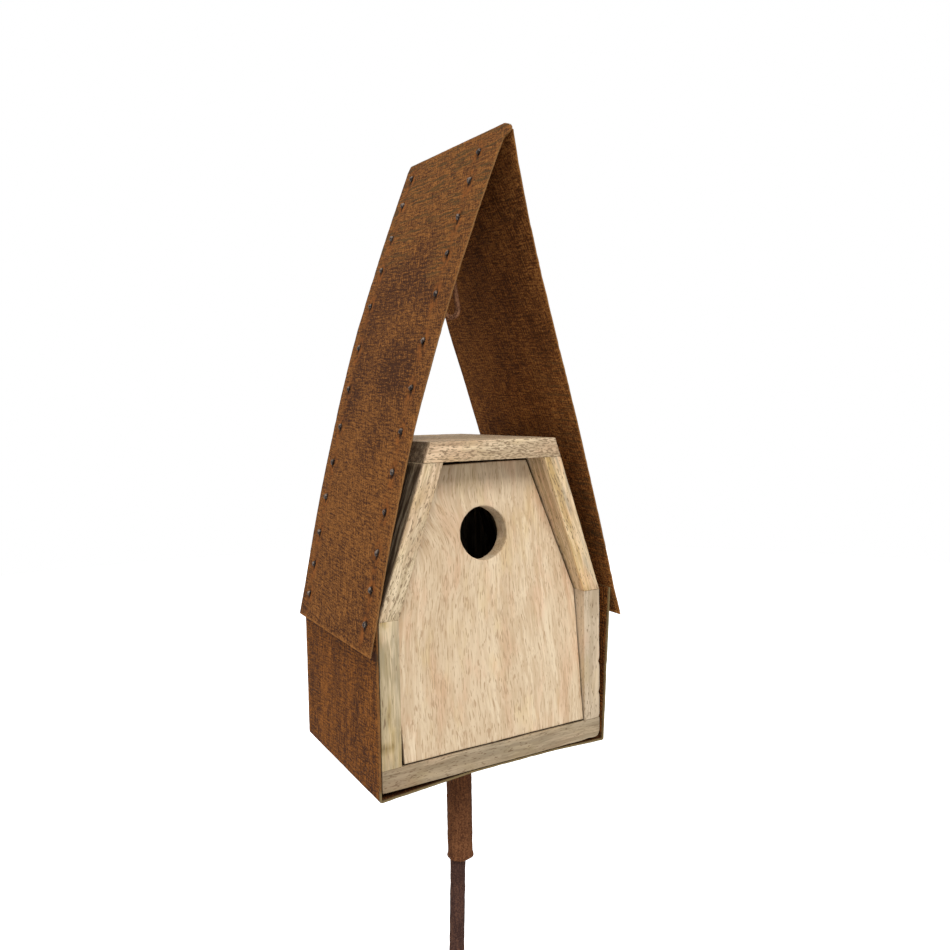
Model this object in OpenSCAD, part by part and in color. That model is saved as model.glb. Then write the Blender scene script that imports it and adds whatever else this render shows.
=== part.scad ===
// Nest box on a pole: a six-board wooden tunnel with a leaning front panel,
// a rusted sheet tray round its lower half, a steep roof of two bowed sheets
// and a round sleeve below that slips over a rod standing in the ground.
// Seen from the front: +X to the right, +Y to the back, +Z up.

/* [Wooden box] */
// Outer width of the box, over its upright sides
box_w = 150; // [120:1:200]
// Height at which the upright sides end and the slopes begin
shoulder_h = 95; // [70:1:130]
// Outer width across the flat top
top_w = 84; // [60:1:110]
// Height of the box from its underside to its top
box_h = 191; // [160:1:260]
// Depth of the boards from front to back
box_d = 115; // [90:1:160]
// Thickness of the upright and sloped boards, measured across the box
side_t = 12; // [8:0.5:16]
// Thickness of the bottom board
floor_t = 12.5; // [8:0.5:16]
// Thickness of the top board
top_t = 11.5; // [8:0.5:16]

/* [Front and back panels] */
// Thickness of both panels
panel_t = 12; // [8:0.5:14]
// Lean of the front panel, its top set back
panel_lean = 6.4; // [0:0.2:9]
// Set-back of the front panel at its foot
panel_foot_in = 0.5; // [0:0.5:5]
// Gap between the front panel and the boards beside it
panel_gap = 0.7; // [0.3:0.1:1.5]
// Gap between the front panel's top and the top board
panel_top_gap = 2.3; // [0.3:0.1:4]
// Gap between the front panel's foot and the bottom board
panel_foot_gap = 0.7; // [0.1:0.1:0.9]
// Bevel along the lower front edge of the front panel
panel_bevel = 1; // [0.5:0.25:2]
// Diameter of the entrance hole
hole_d = 32; // [26:1:50]
// Depth of the entrance's centre below the underside of the top board
hole_down = 44; // [30:0.5:60]

/* [Sheet metal] */
// Thickness of the tray and roof sheets
sheet_t = 1; // [0.8:0.1:2.5]
// How far the tray runs on behind the boards
tray_past = 3; // [0:0.5:10]
// How far the tray's sides reach above the shoulders of the box
tray_over = 0; // [0:0.5:8]
// Gap between the box and the flat strip of the tray's bottom, kept by washers
tray_gap = 0.7; // [0.3:0.1:2]
// Gap between the box and the tray's left side
tray_side_gap = 0.6; // [0.2:0.1:2]
// Sag of the tray's bottom below its flat strip at the left corner
tray_sag_left = 3.6; // [0.5:0.1:6]
// Sag of the tray's bottom below its flat strip at the right corner
tray_sag_right = 1.7; // [0.5:0.1:4]
// Gap between the box and the right side's foot
tray_foot_gap = 2.2; // [0.5:0.1:4]
// Gap between the box and the right side's top, which leans out
tray_flare = 8.1; // [2:0.1:12]

/* [Roof] */
// Gap between each roof sheet and the tray's top edge that it rests on
roof_gap = 0.2; // [0.1:0.1:0.6]
// Height of the ridge above the top of the box
ridge_over = 169; // [130:1:260]
// Drop of the eaves below the tray's top edge
eave_drop = 17.5; // [8:0.5:30]
// Outward bow of each sheet at mid height
roof_bow = 5.6; // [1:0.1:8]
// Flare of the eaves below the tray's top edge, sideways for each mm of drop
eave_flare = 0.25; // [0:0.01:0.4]
// Gap between the two sheets where they meet at the ridge
ridge_gap = 0.3; // [0.1:0.1:1]
// How far the left sheet runs on above the ridge at its front corner
lap_front = 6.2; // [2:0.2:10]
// How far the left sheet runs on above the ridge at its back corner
lap_back = 14.4; // [2:0.2:18]
// Reach of the rounded nose in front of the left sheet's front corner
nose_out = 7; // [1:0.5:10]
// Overhang of the left sheet in front of the box at the ridge
left_rake = 9.8; // [4:0.2:30]
// Overhang of the right sheet in front of the box at the ridge
right_rake = 15; // [4:0.5:30]
// Overhang of both sheets in front of the box at the eaves
front_toe = 3.4; // [1:0.2:10]
// Largest reach of the sheets behind the boards
roof_past = 9.4; // [4:0.2:40]
// How much further forward their back edges lie at the ridge
back_rake = 3.5; // [0:0.1:14]
// How much further forward their back edges lie at the eaves
back_toe = 10.9; // [4:0.1:16]

/* [Nails and screws] */
// Diameter of a nail's head
nail_d = 3.6; // [3:0.1:5]
// Height of a nail's head
nail_h = 1.1; // [0.8:0.1:2]
// Distance of the lower front nails from the sheet's front edge
nail_in_front = 13; // [8:0.5:25]
// How much further from that edge the highest front nail sits
nail_in_more = 12.4; // [0:0.2:16]
// Distance of the back nails from the sheet's back edge
nail_in_back = 12; // [8:0.5:25]
// How much higher the left sheet's highest back nail sits than its front one
back_nail_lift = 7.5; // [0:0.5:12]
// Diameter of a screw's head below the tray
screw_d = 7; // [5:0.5:9]
// Height of a screw's head
screw_h = 2; // [1:0.25:3]
// Diameter of the washer between the tray and the box at each screw
washer_d = 9; // [7:0.5:12]

/* [Hanging loop] */
// Diameter of the rod that the loop is bent from
loop_rod_d = 3.5; // [2.5:0.25:4]
// Width of the loop between its rod's centre lines
loop_w = 10; // [8:0.5:16]
// Height of the loop between its rod's centre lines
loop_h = 36; // [28:1:50]
// Depth of the loop's lowest centre line below the ridge
loop_down = 94; // [70:1:120]
// Gap left where the rod's end comes back to its shank
loop_clear = 0.4; // [0.3:0.1:0.8]

/* [Sleeve and pole] */
// Outer diameter of the sleeve
sleeve_d = 16.5; // [15:0.5:24]
// Wall of the sleeve
sleeve_wall = 1.5; // [1:0.1:2]
// Length of the sleeve below the tray
sleeve_l = 79; // [50:1:120]
// Diameter of the pole
pole_d = 10; // [6:0.5:11]
// Share of the sleeve's looseness that the pole's sideways lean takes up
pole_askew = 0.75; // [0.1:0.05:0.95]
// Distance of the sleeve's centre behind the box's front
pole_back = 50.5; // [40:0.5:80]
// Height of the box's underside above the ground
stand_h = 900; // [500:10:1500]
// Leg of the weld between the sleeve and the tray
weld_leg = 3; // [1:0.5:5]

/* [Hidden] */
$fn = 48;

// Colours
wood = "#c4ad87";
pale_wood = "#d9c19c";
rust = "#8a5634";
dark_rust = "#5e3c28";
nail_colour = "#3a2f2a";

// The pole stands on the origin a little askew: it rests against the sleeve's
// left wall at the rim, and its top points to the right
base_t = sheet_t + tray_gap;
sleeve_bore = sleeve_d - 2 * sleeve_wall;
pole_lean = atan(pole_askew * (sleeve_bore - pole_d) / sleeve_l);
rim_h = stand_h - base_t - sleeve_l;
pole_gap = 0.05;
box_x = rim_h * tan(pole_lean) + (sleeve_bore - pole_d) / 2 - pole_gap;

// Box: half widths of the outside and of the opening at a height
slope_run = (box_w - top_w) / 2;
slope_rise = box_h - shoulder_h;
function box_half(z) = z <= shoulder_h
    ? box_w / 2
    : box_w / 2 - slope_run * (z - shoulder_h) / slope_rise;
function opening_half(z) = box_half(z) - side_t;
top_joint_h = box_h - top_t;

// Tray: the box stands on washers on a flat strip in the middle of its bottom
tray_h = shoulder_h + tray_over;
tray_d = box_d + tray_past;
tray_flat_left = -box_w * 0.13;
tray_flat_right = box_w * 0.27;
tray_left = -box_w / 2 - tray_side_gap - sheet_t;
tray_right_foot = box_w / 2 + tray_foot_gap + sheet_t;
tray_right = box_w / 2 + tray_flare + sheet_t;

// Roof: both sheets rest on the outer top edges of the tray
ridge_h = box_h + ridge_over;
eave_h = tray_h - eave_drop;
roof_reach = box_d + roof_past;
sheet_across = sheet_t * 1.04;
roof_left_at_tray = tray_left - roof_gap - sheet_across;
roof_right_at_tray = tray_right + roof_gap + sheet_across;
ridge_x = (roof_left_at_tray + roof_right_at_tray) / 2;
half_span = (roof_right_at_tray - roof_left_at_tray) / 2;
ridge_half = sheet_across + ridge_gap / 2;
roof_rise = ridge_h - eave_h;

// Outer face's distance from the ridge's centre line: a bowed line above the
// tray's top edge and a straight flare below it
function roof_up(z) = (z - tray_h) / (ridge_h - tray_h);
function roof_curve(z) = z < tray_h
    ? half_span + eave_flare * (tray_h - z)
    : half_span + (ridge_half - half_span) * roof_up(z)
        + 4 * roof_bow * roof_up(z) * (1 - roof_up(z));

// Nails: steps down from the ridge, for a sheet that drops 282 mm
nail_steps = [4.6, 16.9, 21.3, 20.4, 23, 26.4, 26.2, 24, 22.3, 21.6, 22.1, 19.9, 18.4];
nail_count = len(nail_steps);
function steps_to(k) = k < 0 ? 0 : nail_steps[k] + steps_to(k - 1);
function nail_h_at(k) = ridge_h - roof_rise * steps_to(k) / 282;

// Facets of a sheet: one to each nail, with the breaks half way between, and
// one more break where the sheet rests on the tray
function break_h(k) =
    k == 0 ? ridge_h
    : (nail_h_at(k - 1) + nail_h_at(k)) / 2;
facet_breaks = concat(
    [eave_h, tray_h],
    [for (k = [nail_count - 1:-1:0]) if (break_h(k) > tray_h + 1) break_h(k)]
);
facet_table = [for (z = facet_breaks) [z, roof_curve(z)]];
top_slope = (roof_curve(ridge_h) - roof_curve(break_h(1))) / (ridge_h - break_h(1));
function roof_half(z) = z > ridge_h
    ? ridge_half + top_slope * (z - ridge_h)
    : lookup(z, facet_table);

// Edges of the sheets, seen from the side
mid_front_h = eave_h + roof_rise * 0.44;
mid_back_h = eave_h + roof_rise * 0.65;
function front_edge(side, z) = z > mid_front_h
    ? -(side < 0 ? left_rake : right_rake)
        * pow((z - mid_front_h) / (ridge_h - mid_front_h), side < 0 ? 1.4 : 3.2)
    : -front_toe * pow((mid_front_h - z) / (mid_front_h - eave_h), 2);
function back_edge(z) = z > mid_back_h
    ? roof_reach - back_rake * (z - mid_back_h) / (ridge_h - mid_back_h)
    : roof_reach - back_toe * pow((mid_back_h - z) / (mid_back_h - eave_h), 1.15);
edge_steps = 18;
function edge_h(i) = eave_h + roof_rise * i / edge_steps;
// Nose of the left sheet, from its foot up to the top edge: shares of its
// reach before the front edge and of its height above the ridge
nose = [
    [0.1, -0.52], [0.41, -0.45], [0.83, -0.42], [1, -0.26], [0.94, -0.05],
    [0.81, 0.13], [0.53, 0.42], [0.14, 0.65], [-0.63, 1]
];
nose_foot_h = ridge_h + nose[0][1] * lap_front;

// Front panel: it fills the opening, less its gaps
panel_foot = floor_t + panel_foot_gap;
panel_top = top_joint_h - panel_top_gap;
hole_h = top_joint_h - hole_down;
loop_foot_h = ridge_h - loop_down;

// Places a child in the box's frame: x from its middle, y from its front,
// z from its underside
module at_box() {
    translate([box_x, -pole_back, stand_h]) children();
}

// Extrudes an x-z outline from y0 to y1
module along_y(y0, y1) {
    translate([0, y1, 0]) rotate([90, 0, 0])
        linear_extrude(y1 - y0) children();
}

// Extrudes a y-z outline from x0 to x1
module along_x(x0, x1) {
    translate([x0, 0, 0]) rotate([90, 0, 90])
        linear_extrude(x1 - x0) children();
}

// ---- Wooden box ----

module bottom_board() {
    color(wood) at_box()
        translate([-box_w / 2, 0, 0]) cube([box_w, box_d, floor_t]);
}

// Upright board; side is -1 for the left and 1 for the right
module side_board(side) {
    color(wood) at_box()
        translate([side > 0 ? box_w / 2 - side_t : -box_w / 2, 0, floor_t])
            cube([side_t, box_d, shoulder_h - floor_t]);
}

// Sloped board between the shoulder and the top board
module slope_board(side) {
    color(wood) at_box() along_y(0, box_d) polygon([
        [side * box_half(shoulder_h), shoulder_h],
        [side * box_half(top_joint_h), top_joint_h],
        [side * opening_half(top_joint_h), top_joint_h],
        [side * opening_half(shoulder_h), shoulder_h]
    ]);
}

module top_board() {
    color(wood) at_box() along_y(0, box_d) polygon([
        [-box_half(top_joint_h), top_joint_h],
        [box_half(top_joint_h), top_joint_h],
        [box_half(box_h), box_h],
        [-box_half(box_h), box_h]
    ]);
}

// Outline of the opening, less a gap at the sides and the top
module opening_outline(gap) {
    polygon([
        [-opening_half(floor_t) + gap, floor_t],
        [opening_half(floor_t) - gap, floor_t],
        [opening_half(shoulder_h) - gap, shoulder_h],
        [opening_half(top_joint_h) - gap, top_joint_h - gap],
        [-opening_half(top_joint_h) + gap, top_joint_h - gap],
        [-opening_half(shoulder_h) + gap, shoulder_h]
    ]);
}

// Leaning slab that fills the opening, with a bevel along its lower front edge
module front_panel() {
    rise = panel_top - panel_foot;
    lean_run = rise * tan(panel_lean);
    across = panel_t / cos(panel_lean);
    color(pale_wood) at_box() difference() {
        intersection() {
            along_y(-1, box_d) opening_outline(panel_gap);
            along_x(-box_w / 2, box_w / 2) polygon([
                [panel_foot_in + panel_bevel, panel_foot],
                [panel_foot_in + panel_bevel * tan(panel_lean), panel_foot + panel_bevel],
                [panel_foot_in + lean_run, panel_top],
                [panel_foot_in + lean_run + across, panel_top],
                [panel_foot_in + across, panel_foot]
            ]);
        }
        translate([0, panel_foot_in + (hole_h - panel_foot) * tan(panel_lean), hole_h])
            rotate([-90 - panel_lean, 0, 0])
                translate([0, 0, -panel_t])
                    cylinder(h = 3 * panel_t, d = hole_d);
    }
}

module back_panel() {
    color(wood) at_box()
        along_y(box_d - panel_t, box_d) opening_outline(panel_gap / 2);
}

// ---- Tray ----

module tray() {
    inner_left = tray_left + sheet_t;
    color(rust) at_box() along_y(0, tray_d) polygon([
        [tray_left, tray_h],
        [tray_left, -tray_sag_left - base_t],
        [tray_flat_left, -base_t],
        [tray_flat_right, -base_t],
        [tray_right_foot, -tray_sag_right - base_t],
        [tray_right, tray_h],
        [tray_right - sheet_t, tray_h],
        [tray_right_foot - sheet_t, -tray_sag_right - tray_gap],
        [tray_flat_right, -tray_gap],
        [tray_flat_left, -tray_gap],
        [inner_left, -tray_sag_left - tray_gap],
        [inner_left, tray_h]
    ]);
}

// Pan heads under the tray's flat strip, two to a side of the sleeve, each
// with a washer between the tray and the box
module tray_screws() {
    for (x = [tray_flat_left + screw_d, tray_flat_right - screw_d],
         y = [box_d * 0.16, box_d * 0.84])
        color(dark_rust) at_box() translate([x, y, 0]) {
            translate([0, 0, -base_t]) mirror([0, 0, 1])
                rotate_extrude() polygon([
                    [0, 0], [screw_d / 2, 0], [screw_d / 2, screw_h * 0.4],
                    [screw_d * 0.32, screw_h], [0, screw_h]
                ]);
            translate([0, 0, -tray_gap]) cylinder(h = tray_gap, d = washer_d);
        }
}

// ---- Roof ----

// Left sheet seen from the side: its top edge rises towards the back, and its
// front corner ends in a rounded nose
module left_side_outline() {
    corner_y = front_edge(-1, ridge_h);
    back_y = back_edge(ridge_h);
    polygon(concat(
        [for (i = [0:edge_steps]) if (edge_h(i) < nose_foot_h) [front_edge(-1, edge_h(i)), edge_h(i)]],
        [[front_edge(-1, nose_foot_h), nose_foot_h]],
        [for (share = nose) [corner_y - share[0] * nose_out, ridge_h + share[1] * lap_front]],
        [[back_y - 0.1 * lap_back, ridge_h + lap_back], [back_y, ridge_h + 0.75 * lap_back]],
        [for (i = [edge_steps:-1:0]) [back_edge(edge_h(i)), edge_h(i)]]
    ));
}

// Right sheet seen from the side: it stops at the ridge
module right_side_outline() {
    polygon(concat(
        [for (i = [0:edge_steps]) [front_edge(1, edge_h(i)), edge_h(i)]],
        [for (i = [edge_steps:-1:0]) [back_edge(edge_h(i)), edge_h(i)]]
    ));
}

// Bowed strip between a sheet's two faces, up to the given height
module sheet_profile(side, top_h) {
    heights = [for (z = facet_breaks) if (z < ridge_h) z];
    outer = [for (z = concat(heights, [top_h])) [side * roof_half(z), z]];
    inner = [for (i = [len(outer) - 1:-1:0]) outer[i] - [side * sheet_across, 0]];
    polygon(concat(outer, inner));
}

module roof_left_sheet() {
    color(rust) at_box() translate([ridge_x, 0, 0]) intersection() {
        along_y(-left_rake - nose_out - 5, roof_reach + 5)
            sheet_profile(-1, ridge_h + lap_back + 1);
        along_x(-half_span * 1.3, half_span) left_side_outline();
    }
}

module roof_right_sheet() {
    color(rust) at_box() translate([ridge_x, 0, 0]) intersection() {
        along_y(-right_rake - 5, roof_reach + 5) sheet_profile(1, ridge_h);
        along_x(-half_span, half_span * 1.3) right_side_outline();
    }
}

// One nail's head, its seat at the origin, standing up along +Z
module nail_head() {
    rotate_extrude() polygon([
        [0, 0], [nail_d / 2, 0], [nail_d / 2, nail_h * 0.35],
        [nail_d * 0.3, nail_h * 0.85], [0, nail_h]
    ]);
}

// Row of heads down one sheet: side is -1 for the left and 1 for the right,
// and lift raises the heads in proportion to their height
module nail_row(side, front, lift) {
    for (k = [0:nail_count - 1])
        let (
            up = (nail_h_at(k) - eave_h) / roof_rise,
            z = nail_h_at(k) + lift * up * up,
            lean = (roof_half(z - 1) - roof_half(z + 1)) / 2,
            y = front
                ? front_edge(side, z) + nail_in_front + nail_in_more * up * up
                : back_edge(min(z, ridge_h)) - nail_in_back
        )
        color(nail_colour) at_box()
            translate([ridge_x + side * roof_half(z), y, z])
                rotate([0, side * (90 - atan(lean)), 0]) nail_head();
}

module left_front_nails() { nail_row(-1, true, 0); }
module left_back_nails() { nail_row(-1, false, back_nail_lift); }
module right_front_nails() { nail_row(1, true, 0); }
module right_back_nails() { nail_row(1, false, 0); }

// Heading of a line of points at its point i
function heading(points, i) =
    let (
        last = len(points) - 1,
        d = points[min(i + 1, last)] - points[max(i - 1, 0)]
    )
    d / norm(d);

// Round rod along a line of points that lie in an x-z plane
module rod_along(points, radius, sides) {
    n = len(points);
    rings = [
        for (i = [0:n - 1])
            let (side = cross([0, 1, 0], heading(points, i)))
            for (k = [0:sides - 1])
                let (a = 360 * k / sides)
                points[i] + radius * (cos(a) * side + sin(a) * [0, 1, 0])
    ];
    walls = [
        for (i = [0:n - 2], k = [0:sides - 1])
            let (j = i + 1, m = (k + 1) % sides)
            [i * sides + k, i * sides + m, j * sides + m, j * sides + k]
    ];
    caps = [
        [for (k = [sides - 1:-1:0]) k],
        [for (k = [0:sides - 1]) (n - 1) * sides + k]
    ];
    polyhedron(points = rings, faces = concat(walls, caps), convexity = 4);
}

// Rod bent into a teardrop: down the shank, round the loop and back up to
// just short of the shank
module hanging_loop() {
    bend = loop_w / 2;
    // Angle up the round bottom at which the straight strands leave it
    turn = asin(bend / (loop_h - bend));
    strand = [bend * cos(turn), 0, bend + bend * sin(turn)];
    peak = [0, 0, loop_h];
    // The rod fits between the sheets up to here
    shank_h = ridge_h - (loop_rod_d / 2 + ridge_gap) / -top_slope;
    shank_top = [0, 0, shank_h - loop_foot_h];
    // The rod's end stops where the strands are just over its diameter apart
    close = 1 - (loop_rod_d / 2 + loop_clear / 2) / strand[0];
    mirrored = [-strand[0], 0, strand[2]];
    points = concat(
        [shank_top, peak + (shank_top - peak) / 2, peak + [0, 0, bend]],
        [for (i = [0:3]) peak + (strand - peak) * (i + 0.5) / 4],
        [for (i = [0:14]) let (a = turn - (180 + 2 * turn) * i / 14)
            [bend * cos(a), 0, bend + bend * sin(a)]],
        [for (i = [1:3]) mirrored + (peak - mirrored) * close * i / 3]
    );
    color(dark_rust) at_box() translate([ridge_x, box_d / 2, loop_foot_h])
        rod_along(points, loop_rod_d / 2, 10);
}

// ---- Sleeve and pole ----

module sleeve() {
    color(dark_rust) at_box() translate([0, pole_back, -base_t - sleeve_l])
        difference() {
            cylinder(h = sleeve_l, d = sleeve_d);
            translate([0, 0, -1]) cylinder(h = sleeve_l + 2, d = sleeve_bore);
        }
}

module sleeve_weld() {
    color(dark_rust) at_box() translate([0, pole_back, -base_t])
        rotate_extrude() polygon([
            [sleeve_d / 2, 0], [sleeve_d / 2 + weld_leg, 0], [sleeve_d / 2, -weld_leg]
        ]);
}

// Leaning rod, cut level at the ground and under the tray
module pole() {
    color(dark_rust) intersection() {
        rotate([0, pole_lean, 0]) translate([0, 0, -pole_d])
            cylinder(h = stand_h + 2 * pole_d, d = pole_d);
        translate([-box_w / 2, -box_w / 2, 0])
            cube([2 * box_w, box_w, stand_h - base_t]);
    }
}

bottom_board();
side_board(-1);  // left_side_board
side_board(1);  // right_side_board
slope_board(-1);  // left_slope_board
slope_board(1);  // right_slope_board
top_board();
front_panel();
back_panel();
tray();
tray_screws();
roof_left_sheet();
roof_right_sheet();
left_front_nails();
left_back_nails();
right_front_nails();
right_back_nails();
hanging_loop();
sleeve();
sleeve_weld();
pole();
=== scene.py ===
"""Nest box on a pole: a wooden box in a rusted tray, under a steep roof of two bowed sheets.

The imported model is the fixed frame, and each piece here stands in the place of its CAD node. Sizes are
in millimetres in the box's own frame, which has x from its middle, y from its front and z from its
underside. Surfaces are worked out as whole numpy arrays and turned into metres when their mesh is made.
"""

import logging
import math
from dataclasses import dataclass, field
from enum import Enum
from typing import Callable

import bpy
import numpy as np
from mathutils import Matrix, Vector


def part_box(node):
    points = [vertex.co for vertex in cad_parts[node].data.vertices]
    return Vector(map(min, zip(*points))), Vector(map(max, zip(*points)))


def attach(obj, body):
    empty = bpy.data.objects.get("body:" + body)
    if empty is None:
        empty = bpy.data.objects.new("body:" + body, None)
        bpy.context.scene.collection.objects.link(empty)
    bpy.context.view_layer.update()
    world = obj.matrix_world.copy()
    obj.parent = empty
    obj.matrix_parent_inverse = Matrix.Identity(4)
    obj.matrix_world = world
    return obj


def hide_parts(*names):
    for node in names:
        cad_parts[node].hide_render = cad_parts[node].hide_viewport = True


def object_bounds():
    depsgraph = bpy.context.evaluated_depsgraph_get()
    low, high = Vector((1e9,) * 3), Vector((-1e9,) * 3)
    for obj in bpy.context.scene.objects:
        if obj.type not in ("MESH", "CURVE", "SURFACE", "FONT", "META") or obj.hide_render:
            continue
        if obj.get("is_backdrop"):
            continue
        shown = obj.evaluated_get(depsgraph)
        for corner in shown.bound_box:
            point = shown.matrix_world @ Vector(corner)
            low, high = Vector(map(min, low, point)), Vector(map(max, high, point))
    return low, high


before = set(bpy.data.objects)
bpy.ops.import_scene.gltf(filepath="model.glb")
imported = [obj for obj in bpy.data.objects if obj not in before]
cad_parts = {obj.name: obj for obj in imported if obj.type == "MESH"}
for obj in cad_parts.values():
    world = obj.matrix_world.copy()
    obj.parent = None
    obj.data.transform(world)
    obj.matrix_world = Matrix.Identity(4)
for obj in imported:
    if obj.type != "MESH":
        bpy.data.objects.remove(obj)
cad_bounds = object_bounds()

MM = 0.001
BODY = "root"
log = logging.getLogger("nest_box")

Triple = tuple[float, float, float]  # one number each for x, y and z
Colour = tuple[float, float, float]  # red, green and blue, in linear light
Rust = tuple[Colour, Colour, Colour]  # old dark rust, most of it, and fresh rust
Tint = Callable[[np.ndarray], np.ndarray]  # from shares of a block's size to yellow, grey and dirt
Socket = bpy.types.NodeSocket


class Side(Enum):
    """The left or the right of the box, seen from its entrance."""

    LEFT = -1
    RIGHT = 1


class Slot(Enum):
    """Material slots of the record."""

    BOARD = "board"
    PANEL = "panel"
    SHEET = "rusty_sheet"
    ROD = "rusty_rod"
    NAIL = "nail"


# ---- Places and uneven fields ----


@dataclass(frozen=True)
class Place:
    """Where the box's own frame lies in the part's frame, in metres."""

    x: float
    y: float
    z: float

    @classmethod
    def of_bottom_board(cls) -> "Place":
        """Reads the place from the corners of the bottom board."""
        low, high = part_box("bottom_board")
        return cls((low[0] + high[0]) / 2, low[1], low[2])

    def metres(self, points: np.ndarray) -> np.ndarray:
        """Turns millimetres in the box's frame into metres in the part's frame."""
        return np.asarray(points) * MM + np.array([self.x, self.y, self.z])

    def box_of(self, node: str) -> tuple[np.ndarray, np.ndarray]:
        """Gives a CAD node's two corners in the box's frame.

        Args:
            node: Name of the CAD node.

        Returns:
            Its lowest and its highest corner, in millimetres.
        """
        origin = np.array([self.x, self.y, self.z])
        low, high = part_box(node)
        return (np.array(low) - origin) / MM, (np.array(high) - origin) / MM


class Waves:
    """Smooth uneven field: the sum of plane waves with seeded headings, lengths and phases."""

    def __init__(self, seed: int, length: float, count: int = 20) -> None:
        """Draws the waves.

        Args:
            seed: Seed of the random draws.
            length: Typical length of a wave, in millimetres.
            count: Number of waves.
        """
        rng = np.random.default_rng(seed)
        heading = rng.normal(size=(count, 3))
        heading /= np.linalg.norm(heading, axis=1, keepdims=True)
        self.vectors = heading * (2 * np.pi / length) * rng.uniform(0.6, 1.7, (count, 1))
        self.phases = rng.uniform(0, 2 * np.pi, count)

    def at(self, points: np.ndarray) -> np.ndarray:
        """Gives the field at each point, about -2 to 2 and 0 on average."""
        total = np.cos(points @ self.vectors.T + self.phases).sum(axis=1)
        return total * math.sqrt(2 / len(self.phases))


def smooth(value: np.ndarray, low: float, high: float) -> np.ndarray:
    """Eases from 0 at low to 1 at high with the cubic 3t^2 - 2t^3."""
    t = np.clip((value - low) / (high - low), 0.0, 1.0)
    return t * t * (3 - 2 * t)


def relief(points: np.ndarray, *layers: tuple[int, float, float]) -> np.ndarray:
    """Sums uneven fields of several sizes.

    Args:
        points: Where they are read, in millimetres.
        *layers: Each field's seed, the length of its waves in millimetres, and its height.

    Returns:
        The sum at each point.
    """
    return sum(height * Waves(seed, length).at(points) for seed, length, height in layers)


def columns(*parts: np.ndarray | float) -> np.ndarray:
    """Puts arrays and plain numbers side by side, as one row for each point."""
    return np.stack(np.broadcast_arrays(*parts), axis=-1)


def full_turn(count: int) -> np.ndarray:
    """Gives evenly spread angles round a full turn."""
    return 2 * np.pi * np.arange(count) / count


# ---- Surfaces ----


@dataclass
class Shell:
    """Closed surface: points in millimetres, four-sided faces, end caps and named marks on the points."""

    points: np.ndarray
    quads: np.ndarray
    caps: list[list[int]] = field(default_factory=list)
    marks: dict[str, np.ndarray] = field(default_factory=dict)

    def outward(self) -> "Shell":
        """Turns the faces outwards, told by the sign of the volume they enclose.

        Returns:
            This shell.
        """
        p = self.points - self.points.mean(axis=0)
        a, b, c, d = (p[self.quads[:, i]] for i in range(4))
        volume = (a * np.cross(b, c)).sum() + (a * np.cross(c, d)).sum()
        if volume < 0:
            self.quads = self.quads[:, ::-1]
            self.caps = [cap[::-1] for cap in self.caps]
        return self

    def normals(self) -> np.ndarray:
        """Gives unit normals at the points: the sum of the crossed diagonals of the faces round each.

        Returns:
            One normal for each point.
        """
        p, q = self.points, self.quads
        crossed = np.cross(p[q[:, 2]] - p[q[:, 0]], p[q[:, 3]] - p[q[:, 1]])
        total = np.zeros_like(p)
        for corner in range(4):
            np.add.at(total, q[:, corner], crossed)
        return total / np.maximum(np.linalg.norm(total, axis=1, keepdims=True), 1e-9)

    def roughened(self, height: np.ndarray) -> "Shell":
        """Moves each point along its normal.

        Args:
            height: How far each point moves outwards, in millimetres.

        Returns:
            This shell.
        """
        self.points = self.points + self.normals() * height[:, None]
        return self


def grid_quads(rows: int, cols: int, ring_rows: bool, ring_cols: bool) -> np.ndarray:
    """Numbers the faces of a grid of points, row after row.

    Args:
        rows: Number of rows.
        cols: Number of points in a row.
        ring_rows: Whether the last row joins the first.
        ring_cols: Whether the last point of a row joins its first.

    Returns:
        One row of four point numbers for each face.
    """
    r, c = np.meshgrid(
        np.arange(rows if ring_rows else rows - 1),
        np.arange(cols if ring_cols else cols - 1),
        indexing="ij",
    )
    down, along = (r + 1) % rows, (c + 1) % cols
    corners = [r * cols + c, r * cols + along, down * cols + along, down * cols + c]
    return np.stack(corners, axis=-1).reshape(-1, 4)


def ring_shell(grid: np.ndarray, ring_rows: bool = False, caps: bool = True) -> Shell:
    """Makes a shell of a grid whose rows are closed rings.

    Args:
        grid: Points as rows by columns by 3.
        ring_rows: Whether the last row joins the first, as on a torus.
        caps: Whether the first and last row are closed with a flat cap.

    Returns:
        The shell, its faces outwards.
    """
    rows, cols = grid.shape[:2]
    ends = []
    if caps and not ring_rows:
        ends = [list(range(cols))[::-1], list(range((rows - 1) * cols, rows * cols))]
    return Shell(grid.reshape(-1, 3), grid_quads(rows, cols, ring_rows, True), ends).outward()


def shell_row(grid: np.ndarray, turned: bool) -> Shell:
    """Joins like shells, each a stack of rings with a cap at both ends, into one.

    Args:
        grid: Points as shells by rings by points of a ring by 3.
        turned: Whether the faces are turned over.

    Returns:
        The one shell.
    """
    count, rings, around = grid.shape[:3]
    each = rings * around
    first = np.arange(count)[:, None] * each
    ring = np.arange(around)
    quads = grid_quads(rings, around, False, True)[None] + first[..., None]
    caps = (ring[::-1] + first).tolist() + (ring + each - around + first).tolist()
    if turned:
        quads, caps = quads[..., ::-1], [cap[::-1] for cap in caps]
    return Shell(grid.reshape(-1, 3), quads.reshape(-1, 4), caps)


def rim_distance(share: np.ndarray, size: Triple) -> np.ndarray:
    """Gives the distance of a flat sheet's points from its nearest edge, along its length or its depth.

    Args:
        share: The points as shares of the sheet's size.
        size: Length, depth and thickness, in millimetres.

    Returns:
        The distances, in millimetres.
    """
    near = np.minimum(share[:, :2], 1 - share[:, :2]) * np.array(size[:2])
    return near.min(axis=1)


# Lattice lines beside an edge, in arris radii from it. A thin block does without the last.
ARRIS_TICKS = np.array([0.0, 0.586, 1.0, 1.8])
THIN_BLOCK = 5.0


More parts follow.
